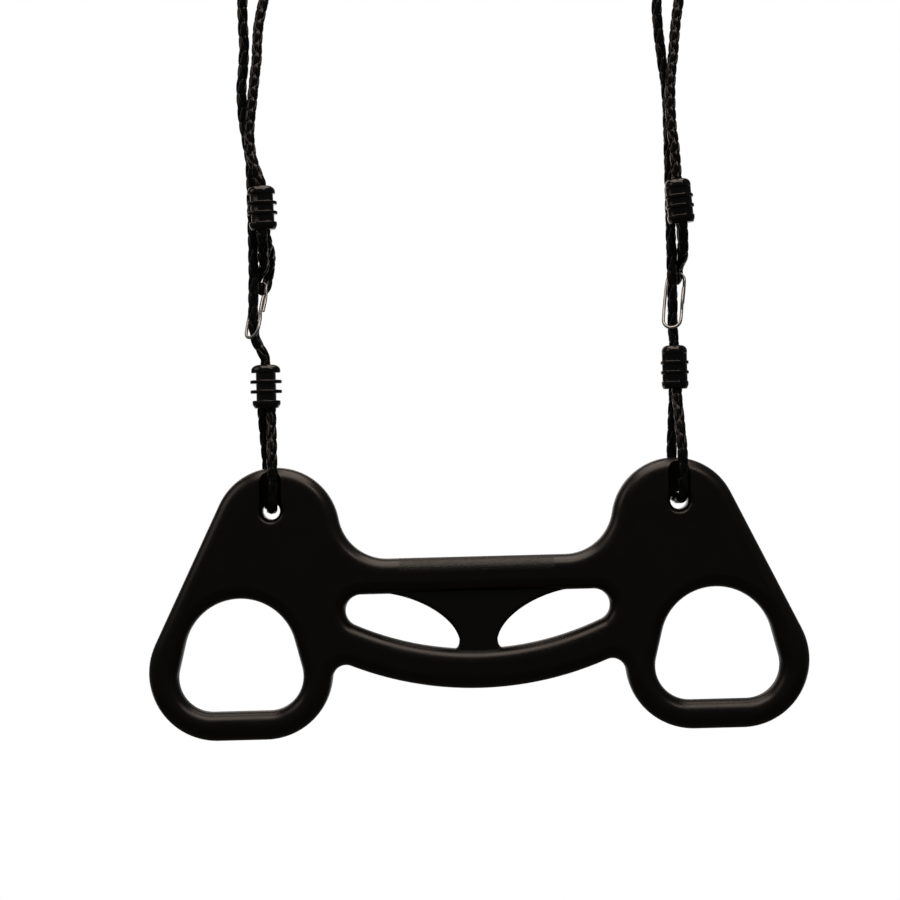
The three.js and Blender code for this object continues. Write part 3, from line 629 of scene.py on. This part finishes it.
def fillet_circle(first, second, radius):
    """The hollow circle that touches two circles from outside, below the line between them."""
    reach = (first[2] + radius, second[2] + radius)
    across = Vector((second[0] - first[0], second[1] - first[1]))
    along = (across.length_squared + reach[0] ** 2 - reach[1] ** 2) / (2 * across.length)
    aside = sqrt(reach[0] ** 2 - along ** 2)
    across.normalize()
    x = first[0] + across.x * along + across.y * aside
    z = first[1] + across.y * along - across.x * aside
    return x, z, -radius


def mirrored(circle):
    return (-circle[0], circle[1], circle[2])


def body_outlines():
    """The circles of the body's outer outline, then of its window and of its two grip holes."""
    rise = WINDOW_END[1] - LOWER_BAR_TOP
    radius = (WINDOW_END[0] ** 2 + rise ** 2 - WINDOW_END[2] ** 2) / (2 * (rise - WINDOW_END[2]))
    floor = (0, radius + LOWER_BAR_TOP, radius)
    lower_bar = (0, floor[1], radius + LOWER_BAR_WIDTH)
    fillet_rise = BAR_TOP + BAR_FILLET - LOBE[1]
    fillet_run = sqrt((LOBE[2] + BAR_FILLET) ** 2 - fillet_rise ** 2)
    bar_fillet = (LOBE[0] - fillet_run, BAR_TOP + BAR_FILLET, -BAR_FILLET)
    notch = fillet_circle(lower_bar, INNER_CORNER, NOTCH_RADIUS)
    right = [notch, INNER_CORNER, OUTER_CORNER, LOBE, bar_fillet]
    outer = [lower_bar, *right, *map(mirrored, reversed(right))]
    window = [floor, WINDOW_END, mirrored(WINDOW_END)]
    top, inner, outside = GRIP_HOLE
    return outer, window, GRIP_HOLE, [*map(mirrored, (top, outside, inner))]


def from_holes(x, y, z):
    """A point given in millimetres from midway between the rope holes, in the model's metres."""
    return Vector((x, y, z - RING_HEIGHT)) * MM


def from_hole(side, point):
    """A point given in millimetres from one side's rope hole, in the model's metres."""
    x, y, z = point
    return from_holes(x + SIDES[side] * HOLE_SPACING / 2, y, z)


def empty_mesh(name):
    """A new object without points, in edit mode and ready to be drawn on."""
    deselect_everything()
    bpy.ops.mesh.primitive_plane_add(size=MM, location=(0, 0, 0))
    piece = bpy.context.object
    piece.name = piece.data.name = name
    edit_mode()
    bpy.ops.mesh.select_all(action="SELECT")
    bpy.ops.mesh.delete(type="VERT")
    return piece


def start_at(point):
    """Puts one selected vertex at a point given in metres."""
    bpy.ops.mesh.select_all(action="DESELECT")
    bpy.ops.mesh.primitive_plane_add(size=MM, location=point)
    bpy.ops.mesh.merge(type="CENTER")


def draw_on(step):
    bpy.ops.mesh.extrude_vertices_move(TRANSFORM_OT_translate={"value": step})


def draw_chain(points):
    """A chain of edges through the points."""
    start_at(points[0])
    for before, here in zip(points, points[1:]):
        draw_on(here - before)


def draw_outline(circles, grown, fineness):
    """A closed outline at y = 0, spun round each circle's centre, then straight to the next."""
    arcs = tangent_arcs([(x, z, radius + grown) for x, z, radius in circles])

    def at(arc, angle):
        x, z, radius = arc[:3]
        return from_holes(x + radius * cos(angle), 0, z + radius * sin(angle))

    start_at(at(arcs[0], arcs[0][3]))
    for arc, following in zip(arcs, [*arcs[1:], arcs[0]]):
        x, z, radius, first, turn = arc
        finest = min(fineness, 2 * acos(1 - CHORD_ERROR / abs(radius)))
        bpy.ops.mesh.spin(
            steps=max(2, ceil(abs(turn) / finest)), angle=turn, center=from_holes(x, 0, z),
            axis=(0, 1, 0),
        )
        draw_on(at(following, following[3]) - at(arc, first + turn))


def merge_doubles(distance_mm):
    bpy.ops.mesh.select_all(action="SELECT")
    bpy.ops.mesh.remove_doubles(threshold=distance_mm * MM)


def face_outward():
    bpy.ops.mesh.select_all(action="SELECT")
    bpy.ops.mesh.normals_make_consistent(inside=False)


def pick_front(piece):
    """Selects the vertices that lie furthest to the front, within a micrometre."""
    object_mode()
    mesh = piece.data
    front = min(v.co.y for v in mesh.vertices)
    for items in (mesh.vertices, mesh.edges, mesh.polygons):
        items.foreach_set("select", [False] * len(items))
    for v in mesh.vertices:
        v.select = v.co.y < front + 0.001 * MM
    edit_mode()


def round_over(piece, layers):
    """Insets and lowers the filled front in steps, filled anew so that no face is folded."""
    depth, offset = 0.0, layers[0][1]
    for y, grown in layers[1:]:
        pick_front(piece)
        bpy.ops.mesh.inset(
            thickness=(offset - grown) * MM, depth=0, use_boundary=True, use_even_offset=True,
            use_outset=False,
        )
        bpy.ops.transform.translate(value=(0, (depth - y) * MM, 0))
        depth, offset = y, grown
        bpy.ops.mesh.delete(type="ONLY_FACE")
        bpy.ops.mesh.select_mode(type="EDGE")
        bpy.ops.mesh.select_all(action="DESELECT")
        bpy.ops.mesh.select_non_manifold(
            extend=False, use_wire=True, use_boundary=False, use_multi_face=False,
            use_non_contiguous=False, use_verts=False,
        )
        bpy.ops.mesh.delete(type="EDGE")
        bpy.ops.mesh.select_mode(type="VERT")
        pick_front(piece)
        bpy.ops.mesh.fill(use_beauty=True)


def edge_layers(thickness, band, inset, segments, flash):
    """Depths from the middle of the moulding to its face, each with its offset from the outline.

    The last layer keeps a narrow flat rim round the face, so that the face is shaded flat."""
    layers = [(0.0, flash), (FLASH_HALF, 0.0)] if flash else [(0.0, 0.0)]
    for k in range(1, segments + 1):
        angle = k / segments * pi / 2
        depth = band / 2 + (thickness - band) / 2 * sin(angle)
        layers.append((depth, inset * (cos(angle) - 1)))
    face = layers[-1]
    return [*layers, (face[0] + FACE_RISE, face[1] - FACE_RIM)]


def mirror_to_back(piece):
    object_mode()
    mirror = piece.modifiers.new("Mirror", "MIRROR")
    mirror.use_axis = (False, True, False)
    mirror.merge_threshold = 0.01 * MM
    bpy.ops.object.modifier_apply(modifier=mirror.name)
    edit_mode()
    face_outward()
    object_mode()


def combine(piece, tool, operation):
    """Joins the tool to the piece, or cuts it out, and removes the tool."""
    make_active(piece)
    cut = piece.modifiers.new("Cut", "BOOLEAN")
    cut.operation = operation
    cut.solver = "EXACT"
    cut.object = tool
    bpy.ops.object.modifier_apply(modifier=cut.name)
    bpy.data.objects.remove(tool)


def finish_piece(piece, material, body, node, crease):
    """Shades the piece, gives it its material, ties it to its body and hides its CAD node."""
    make_active(piece)
    bpy.ops.object.shade_smooth_by_angle(angle=radians(crease))
    give_material(piece, material)
    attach(piece, body)
    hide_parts(node)


def tucked(line, first, last):
    """The line made a little longer at either end, so that the rope goes into its clamp."""
    spacing = (line[1] - line[0]).length
    more = ceil(TUCK * MM / spacing)
    start = [line[0] + (line[0] - line[1]) * k for k in range(more, 0, -1)] if first else []
    end = [line[-1] + (line[-1] - line[-2]) * k for k in range(1, more + 1)] if last else []
    return [*start, *line, *end]


def turns(first, turn, steps):
    """Angles evenly spaced over a turn, with both of its ends."""
    return [first + turn * k / steps for k in range(steps + 1)]


def bezier(points, share):
    """The point at a share of the Bezier curve with the given control points."""
    while len(points) > 1:
        points = [a.lerp(b, share) for a, b in zip(points, points[1:])]
    return points[0]


def clamp_sections():
    """Height, half-width and half-depth of the clamp, from its foot to the flat top of its dome."""
    def grown(pair, more):
        return pair[0] + more, pair[1] + more

    def turn_to(height, pair, rise, more):
        """A quarter turn that climbs to the height, where it is wider by more."""
        return [
            (height - rise * (1 - sin(a)), *grown(pair, more * (1 - cos(a))))
            for a in turns(0, pi / 2, 5)
        ]

    def turn_from(height, pair, rise, more):
        """A quarter turn that climbs from the height, where it is wider by more."""
        return turn_to(height, pair, -rise, more)[::-1]

    root, tip = 0.8 * CLAMP_FILLET, CLAMP_FLANGE_TIP
    waist, bevel, bevel_height, step, step_half = CLAMP_BASE_HEIGHT / 2, 0.45, 0.25, 0.25, 0.4
    sections = [
        (0, *CLAMP_FOOT), (bevel_height, *grown(CLAMP_FOOT, bevel)),
        (waist - step_half, *grown(CLAMP_BASE, -step)), (waist + step_half, *CLAMP_BASE),
        *turn_to(CLAMP_BASE_HEIGHT, CLAMP_BASE, CLAMP_BASE_EDGE, -CLAMP_BASE_EDGE),
        *turn_from(CLAMP_BASE_HEIGHT + CLAMP_LEDGE, CLAMP_CORE, CLAMP_FILLET, root),
    ]
    for middle in CLAMP_FLANGES:
        low, high = middle - CLAMP_FLANGE_HALF, middle + CLAMP_FLANGE_HALF
        sections += turn_to(low, CLAMP_CORE, CLAMP_FILLET, root)
        for a in turns(-pi / 2, pi, 10):
            edge = low + tip if a < 0 else high - tip
            sections.append((edge + tip * sin(a), *grown(CLAMP_FLANGE, -tip * (1 - cos(a)))))
        sections += turn_from(high, CLAMP_CORE, CLAMP_FILLET, root)
    floor = CLAMP_HEIGHT - CLAMP_DOME_HEIGHT
    sections += turn_to(floor, CLAMP_CORE, CLAMP_FILLET, 0.5 * CLAMP_FILLET)
    sections += turn_from(floor + CLAMP_LEDGE, CLAMP_DOME, CLAMP_DOME_EDGE, -CLAMP_DOME_EDGE)
    for a in turns(0, pi / 2, 10):
        height = floor + CLAMP_DOME_SIDE + (CLAMP_DOME_HEIGHT - CLAMP_DOME_SIDE) * sin(a)
        halves = zip(CLAMP_DOME_TOP, CLAMP_DOME)
        sections.append((height, *(top + (side - top) * cos(a) for top, side in halves)))
    return sections


class TRAPEZE_OT_camera(bpy.types.Operator):
    """Adds the camera that sees the bar as the photograph does"""

    bl_idname = "trapeze.camera"
    bl_label = "Add Camera"

    def execute(self, context):
        data = bpy.data.cameras.new("Camera")
        data.lens = LENS
        data.sensor_width = SENSOR
        camera = add_object("Camera", data)
        distance = PHOTO_WIDTH * LENS / SENSOR
        centre = Vector((PHOTO_CENTRE[0], -distance, PHOTO_CENTRE[1])) * MM
        upright = Matrix.Rotation(pi / 2, 4, "X") @ Matrix.Rotation(-PHOTO_ROLL, 4, "Z")
        camera.matrix_world = Matrix.Translation(centre) @ upright
        context.scene.camera = camera
        return {"FINISHED"}


class TRAPEZE_OT_grip_body(bpy.types.Operator):
    """Moulds the grip body: its rounded outline, the web, the rope holes and their grooves"""

    bl_idname = "trapeze.grip_body"
    bl_label = "Mould Grip Body"

    def execute(self, context):
        settings = context.scene.trapeze.body
        body = empty_mesh("moulded_grip_body")
        flash = settings.flash_height / MM
        inset = settings.edge_inset / MM
        layers = edge_layers(BODY_DEPTH, PARTING_BAND, inset, EDGE_STEPS, flash)
        outer, *holes = body_outlines()
        draw_outline(outer, flash, OUTLINE_TURN)
        for hole in holes:
            draw_outline(hole, -flash, HOLE_TURN)
        merge_doubles(OUTLINE_MERGE)
        bpy.ops.mesh.fill(use_beauty=True)
        round_over(body, layers)
        mirror_to_back(body)
        combine(body, self.web(settings.web_thickness / MM), "UNION")
        for side in SIDES:
            combine(body, self.rope_hole(side), "DIFFERENCE")
            for face in (-1, 1):
                combine(body, self.groove(side, face), "DIFFERENCE")
        make_active(body)
        edit_mode()
        merge_doubles(SOLID_MERGE)
        object_mode()
        plastic = moulded_polyethylene(settings.colour)
        finish_piece(body, plastic, "bar", "grip_body", crease=32)
        return {"FINISHED"}

    def web(self, thickness):
        """The thin web, with its sides swept in to a narrow foot."""
        web = empty_mesh("web")
        top = BAR_FOOT
        foot = LOWER_BAR_TOP + WEB_FOOT_HEIGHT
        sweep, height = WEB_TOP - WEB_FOOT, top - foot
        handles = [Vector((WEB_TOP - sweep * a, top - height * b)) for a, b in WEB_HANDLES]
        side = [Vector((WEB_FOOT, foot)), *handles, Vector((WEB_TOP, top))]
        flare = [Vector((WEB_FOOT + WEB_FLARE, LOWER_BAR_TOP)), Vector((WEB_FOOT, LOWER_BAR_TOP))]
        flare.append(side[0])
        buried = Vector((WEB_ROOT, 0))
        right = [flare[0] + buried - Vector((0, WEB_ROOT)), flare[0] + buried]
        right += [bezier(flare, k / FLARE_STEPS) for k in range(FLARE_STEPS)]
        right += [bezier(side, k / SWEEP_STEPS) for k in range(SWEEP_STEPS + 1)]
        right.append(side[3] + (side[3] - side[2]).normalized() * WEB_ROOT)
        right.append(right[-1] + Vector((0, WEB_ROOT)))
        left = [Vector((-p.x, p.y)) for p in reversed(right)]
        draw_chain([from_holes(p.x, 0, p.y) for p in [*right, *left, right[0]]])
        merge_doubles(OUTLINE_MERGE)
        bpy.ops.mesh.fill(use_beauty=True)
        band = thickness - 2 * WEB_EDGE
        round_over(web, edge_layers(thickness, band, WEB_EDGE, WEB_EDGE_STEPS, 0))
        mirror_to_back(web)
        return web

    def rope_hole(self, side):
        """A cutter spun from a rope hole's profile: a bore that widens as a funnel either way."""
        cutter = empty_mesh("rope hole")
        rise = BODY_DEPTH / 2 - BORE_HALF
        mouth = BORE_RADIUS + FUNNEL_REACH
        far = BODY_DEPTH / 2 + CUT_OVERRUN
        profile = [
            (mouth - FUNNEL_REACH * cos(a), BORE_HALF + rise * sin(a))
            for a in turns(0, pi / 2, FUNNEL_STEPS)
        ]
        profile += [(mouth, far), (0, far)]
        whole = [*((radius, -y) for radius, y in reversed(profile)), *profile]
        centre = from_hole(side, (0, 0, BORE_RISE))
        draw_chain([centre + Vector((radius, y, 0)) * MM for radius, y in whole])
        bpy.ops.mesh.select_all(action="SELECT")
        bpy.ops.mesh.spin(steps=BORE_STEPS, angle=2 * pi, center=centre, axis=(0, 1, 0))
        merge_doubles(SOLID_MERGE)
        face_outward()
        object_mode()
        return cutter

    def groove(self, side, face):
        """A round bar that cuts the rope's groove, from the hole up over the lobe."""
        length = LOBE[2] + CUT_OVERRUN
        outward = BODY_DEPTH / 2 - GROOVE_DEPTH + GROOVE_RADIUS
        deselect_everything()
        bpy.ops.mesh.primitive_cylinder_add(
            vertices=96, radius=GROOVE_RADIUS * MM, depth=length * MM,
            location=from_hole(side, (0, face * outward, length / 2)),
        )
        return bpy.context.object


class TRAPEZE_OT_clamps(bpy.types.Operator):
    """Moulds one rope clamp and places its copies, an upper and a lower one on each rope"""

    bl_idname = "trapeze.clamps"
    bl_label = "Mould Clamps"

    def execute(self, context):
        nylon = moulded_nylon(context.scene.trapeze.fittings.clamp_colour)
        model = self.model()
        for node, (foot, turn, lean) in CLAMP_PLACES.items():
            side, level, _ = node.split("_")
            piece = add_object(f"{node}_body", model.data.copy())
            leaning = Matrix.Rotation(radians(lean), 4, "Y")
            turned = leaning @ Matrix.Rotation(radians(turn), 4, "Z")
            piece.data.transform(Matrix.Translation(from_hole(side, foot)) @ turned)
            body = f"{side}_adjuster" if level == "upper" else LOWER_ROPES
            finish_piece(piece, nylon, body, node, crease=40)
        bpy.data.objects.remove(model)
        return {"FINISHED"}

    def model(self):
        """A clamp that stands on the origin, raised section by section from its foot."""
        deselect_everything()
        bpy.ops.mesh.primitive_circle_add(
            vertices=56, radius=MM, fill_type="NGON", location=(0, 0, 0),
        )
        model = bpy.context.object
        edit_mode()
        bpy.ops.mesh.select_all(action="SELECT")
        height, reach, depth = 0.0, 1.0, 1.0
        for here, wide, deep in clamp_sections():
            if here > 0:
                rise = (0, 0, (here - height) * MM)
                bpy.ops.mesh.extrude_region_move(TRANSFORM_OT_translate={"value": rise})
            bpy.ops.transform.resize(
                value=(wide / reach, deep / depth, 1), center_override=(0, 0, here * MM)
            )
            height, reach, depth = here, wide, deep
        face_outward()
        object_mode()
        return model


class TRAPEZE_OT_links(bpy.types.Operator):
    """Bends the two wire links that adjust the ropes"""

    bl_idname = "trapeze.links"
    bl_label = "Bend Links"

    def execute(self, context):
        settings = context.scene.trapeze.fittings
        wire = zinc_plated_steel(
            "Zinc-plated wire", settings.wire_colour, roughness=(0.26, 0.4), cloud_mm=6
        )
        hung = Matrix.Translation(Vector((0, 0, LINK_PASS_DROP - LINK_LENGTH / 2)) * MM)
        tilt = Matrix.Rotation(radians(-LINK_TILT), 4, "X")
        for side, (place, turn, lean) in LINK_PLACES.items():
            piece = self.bent_wire(f"{side}_wire_link", settings.wire_diameter)
            turned = Matrix.Rotation(radians(-turn), 4, "Z")
            tilted = tilt @ Matrix.Rotation(radians(lean), 4, "Y")
            piece.data.transform(
                Matrix.Translation(from_hole(side, place)) @ turned @ tilted @ hung
            )
            body, node = f"{side}_adjuster", f"{side}_adjuster_link"
            finish_piece(piece, wire, body, node, crease=50)
        return {"FINISHED"}

    def bent_wire(self, name, diameter):
        """The link upright at the origin: its line drawn, then given the wire's thickness."""
        leg = LINK_WIDTH / 2
        arch, top = LINK_LENGTH / 2 - leg, LINK_LENGTH / 2
        aside = (diameter / MM + LINK_LAP_GAP) / 2
        high, low = top - LINK_LAP_LOW, top - LINK_LAP_HIGH
        points = [(leg, aside, low), (leg, aside, high), (leg, 0, high + LINK_LAP_RUN)]
        for middle, first in ((arch, 0), (-arch, pi)):
            points += [(leg * cos(a), 0, middle + leg * sin(a)) for a in turns(first, pi, 8)]
        points += [(leg, 0, low - LINK_LAP_RUN), (leg, -aside, low), (leg, -aside, high)]
        empty_mesh(name)
        draw_chain(smooth_line([Vector(point) * MM for point in points], WIRE_STEP * MM))
        object_mode()
        bpy.ops.object.convert(target="CURVE")
        curve = bpy.context.object.data
        curve.bevel_depth = diameter / 2
        curve.bevel_resolution = 5
        curve.use_fill_caps = True
        bpy.ops.object.convert(target="MESH")
        edit_mode()
        merge_doubles(SOLID_MERGE)
        face_outward()
        object_mode()
        return bpy.context.object


class TRAPEZE_OT_hanging_rings(bpy.types.Operator):
    """Turns the two hanging rings, each closed by a weld"""

    bl_idname = "trapeze.hanging_rings"
    bl_label = "Turn Hanging Rings"

    def execute(self, context):
        settings = context.scene.trapeze.fittings
        steel = zinc_plated_steel(
            "Zinc-plated round bar", settings.ring_colour, roughness=(0.2, 0.36), cloud_mm=12
        )
        thick = settings.ring_wire / 2
        for side, hand in SIDES.items():
            centre = from_hole(side, (hand * RING_OUTWARD, 0, RING_HEIGHT))
            deselect_everything()
            bpy.ops.mesh.primitive_torus_add(
                major_segments=120, minor_segments=32, major_radius=RING_RADIUS * MM,
                minor_radius=thick, location=centre, rotation=(0, pi / 2, 0),
            )
            ring = context.object
            bpy.ops.object.transform_apply(location=True, rotation=True, scale=True)
            ring.name = f"{side}_steel_ring"
            deselect_everything()
            bpy.ops.mesh.primitive_uv_sphere_add(
                segments=32, ring_count=20, radius=thick * WELD_GIRTH,
                location=centre + Vector((0, RING_RADIUS * MM, 0)),
            )
            weld = context.object
            bpy.ops.transform.resize(value=(1, 1, WELD_LENGTH), center_override=weld.location)
            bpy.ops.object.transform_apply(location=True, rotation=True, scale=True)
            combine(ring, weld, "UNION")
            node = f"{side}_hanging_ring"
            finish_piece(ring, steel, "hanging_rings", node, crease=50)
        return {"FINISHED"}


class TRAPEZE_OT_ropes(bpy.types.Operator):
    """Plaits both ropes: each over its ring, down to both clamps and round both eyes"""

    bl_idname = "trapeze.ropes"
    bl_label = "Plait Ropes"

    def execute(self, context):
        settings = context.scene.trapeze.rope
        self.radius = settings.diameter / 2
        self.stitch = settings.stitch
        self.fibre = plaited_polypropylene(settings.colour)
        for side in SIDES:
            self.long_rope(side)
            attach(self.eye(side, "upper_eye", UPPER_EYE), f"{side}_adjuster")
            lower_eye = self.eye(side, "lower_eye", LOWER_EYE)
            self.give_way(lower_eye, LOWER_ROPES, "bar", EYE_TOP, EYE_FOOT)
        return {"FINISHED"}

    def line(self, side, routes):
        return smooth_line([from_hole(side, point) for point in routes[side]], ROPE_STEP * MM)

    def give_way(self, piece, upper, lower, top, foot):
        """Bakes the piece's place into its mesh; the bodies and the heights are not used."""
        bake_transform(piece)

    def stretch(self, side, part, line, frames, travel):
        """One stretch of rope, with its material, and its CAD node hidden."""
        piece = plait(f"{side}_plaited_{part}", line, frames, travel, self.radius, self.stitch)
        give_material(piece, self.fibre)
        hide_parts(f"{side}_{part}")
        return piece

    def eye(self, side, part, routes):
        line = tucked(self.line(side, routes), True, True)
        return self.stretch(side, part, line, line_frames(line), 0.0)

    def long_rope(self, side):
        """The standing strand, the bight over the ring and the running strand, all one plait."""
        standing = {name: route[::-1] for name, route in STANDING.items()}
        over = self.line(side, OVER_RING)
        lines = {
            "standing_strand": [*tucked(self.line(side, standing), True, False)[:-1], over[0]],
            "rope_over_ring": over,
            "running_strand": [over[-1], *tucked(self.line(side, RUNNING), False, True)[1:]],
        }
        whole = [lines["standing_strand"][0], *(p for line in lines.values() for p in line[1:])]
        frames = line_frames(whole)
        start, travel = 0, 0.0
        for part, line in lines.items():
            piece = self.stretch(side, part, line, frames[start:start + len(line)], travel)
            if part == "standing_strand":
                self.give_way(piece, ROPE_TOPS, LOWER_ROPES, STRAND_TOP, STANDING_FOOT)
            elif part == "running_strand":
                self.give_way(piece, ROPE_TOPS, f"{side}_adjuster", STRAND_TOP, RUNNING_FOOT)
            else:
                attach(piece, ROPE_TOPS)
            start += len(line) - 1
            travel += (len(line) - 1) * (line[1] - line[0]).length


class TRAPEZE_OT_stage(bpy.types.Operator):
    """Sets the pale floor, the white backdrop and the soft studio lights"""

    bl_idname = "trapeze.stage"
    bl_label = "Set Stage"

    def execute(self, context):
        settings = context.scene.trapeze.stage
        deselect_everything()
        bpy.ops.mesh.primitive_circle_add(
            vertices=96, radius=FLOOR_RADIUS, fill_type="NGON",
            location=(0, 0, FRAME_LOW.z - settings.floor_drop),
        )
        floor = context.object
        floor.name = "floor"
        give_material(floor, matt_painted_board(settings.floor_colour, settings.bounce_colour))
        self.world(context, settings.world_strength)
        middle = (FRAME_LOW + FRAME_HIGH) / 2
        for name, (place, size, share) in LAMPS.items():
            data = bpy.data.lights.new(name, "AREA")
            data.shape = "RECTANGLE"
            data.size, data.size_y = size
            data.energy = settings.key_power * share
            data.color = settings.lamp_colour[:3]
            lamp = add_object(name, data)
            lamp.location = middle + Vector(place)
            lamp.rotation_euler = (middle - lamp.location).to_track_quat("-Z", "Y").to_euler()
        context.scene.view_settings.view_transform = "Standard"
        return {"FINISHED"}

    def world(self, context, strength):
        """A dim world, white to the camera, and to metal only where it looks straight back."""
        world = bpy.data.worlds.new("Studio")
        context.scene.world = world
        world.use_nodes = True
        world.node_tree.nodes.clear()
        add = partial(add_node, world.node_tree)
        dim = add("Background", {"Color": (1, 1, 1, 1), "Strength": strength})
        white = add("Background", {"Color": (1, 1, 1, 1), "Strength": 1})
        direction = add("SeparateXYZ", [add("TexCoord").outputs["Generated"]])
        behind = add("MapRange", [direction.outputs["Y"], 0.8, 1], interpolation_type="SMOOTHSTEP")
        add("OutputWorld", {"Surface": add("MixShader", [seen_directly(add, behind), dim, white])})


class TRAPEZE_PT_parts(bpy.types.Panel):
    bl_label = "Trapeze Bar"
    bl_idname = "TRAPEZE_PT_parts"
    bl_space_type = "VIEW_3D"
    bl_region_type = "UI"
    bl_category = "Trapeze"

    def draw(self, context):
        settings = context.scene.trapeze
        for title in ("rope", "body", "fittings", "stage"):
            group = getattr(settings, title)
            box = self.layout.box()
            box.label(text=title.capitalize())
            for name in group.__annotations__:
                box.prop(group, name)
        for operator in OPERATORS:
            self.layout.operator(operator.bl_idname)


OPERATORS = (
    TRAPEZE_OT_camera,
    TRAPEZE_OT_grip_body,
    TRAPEZE_OT_clamps,
    TRAPEZE_OT_links,
    TRAPEZE_OT_hanging_rings,
    TRAPEZE_OT_ropes,
    TRAPEZE_OT_stage,
)
CLASSES = (
    TrapezeRopeSettings,
    TrapezeBodySettings,
    TrapezeFittingSettings,
    TrapezeStageSettings,
    TrapezeSettings,
    *OPERATORS,
    TRAPEZE_PT_parts,
)


def register():
    for cls in CLASSES:
        bpy.utils.register_class(cls)
    bpy.types.Scene.trapeze = bpy.props.PointerProperty(type=TrapezeSettings)


def unregister():
    del bpy.types.Scene.trapeze
    for cls in reversed(CLASSES):
        bpy.utils.unregister_class(cls)


def main():
    register()
    bpy.ops.trapeze.camera()
    bpy.ops.trapeze.grip_body()
    bpy.ops.trapeze.clamps()
    bpy.ops.trapeze.links()
    bpy.ops.trapeze.hanging_rings()
    bpy.ops.trapeze.ropes()
    bpy.ops.trapeze.stage()


if __name__ == "__main__":
    main()
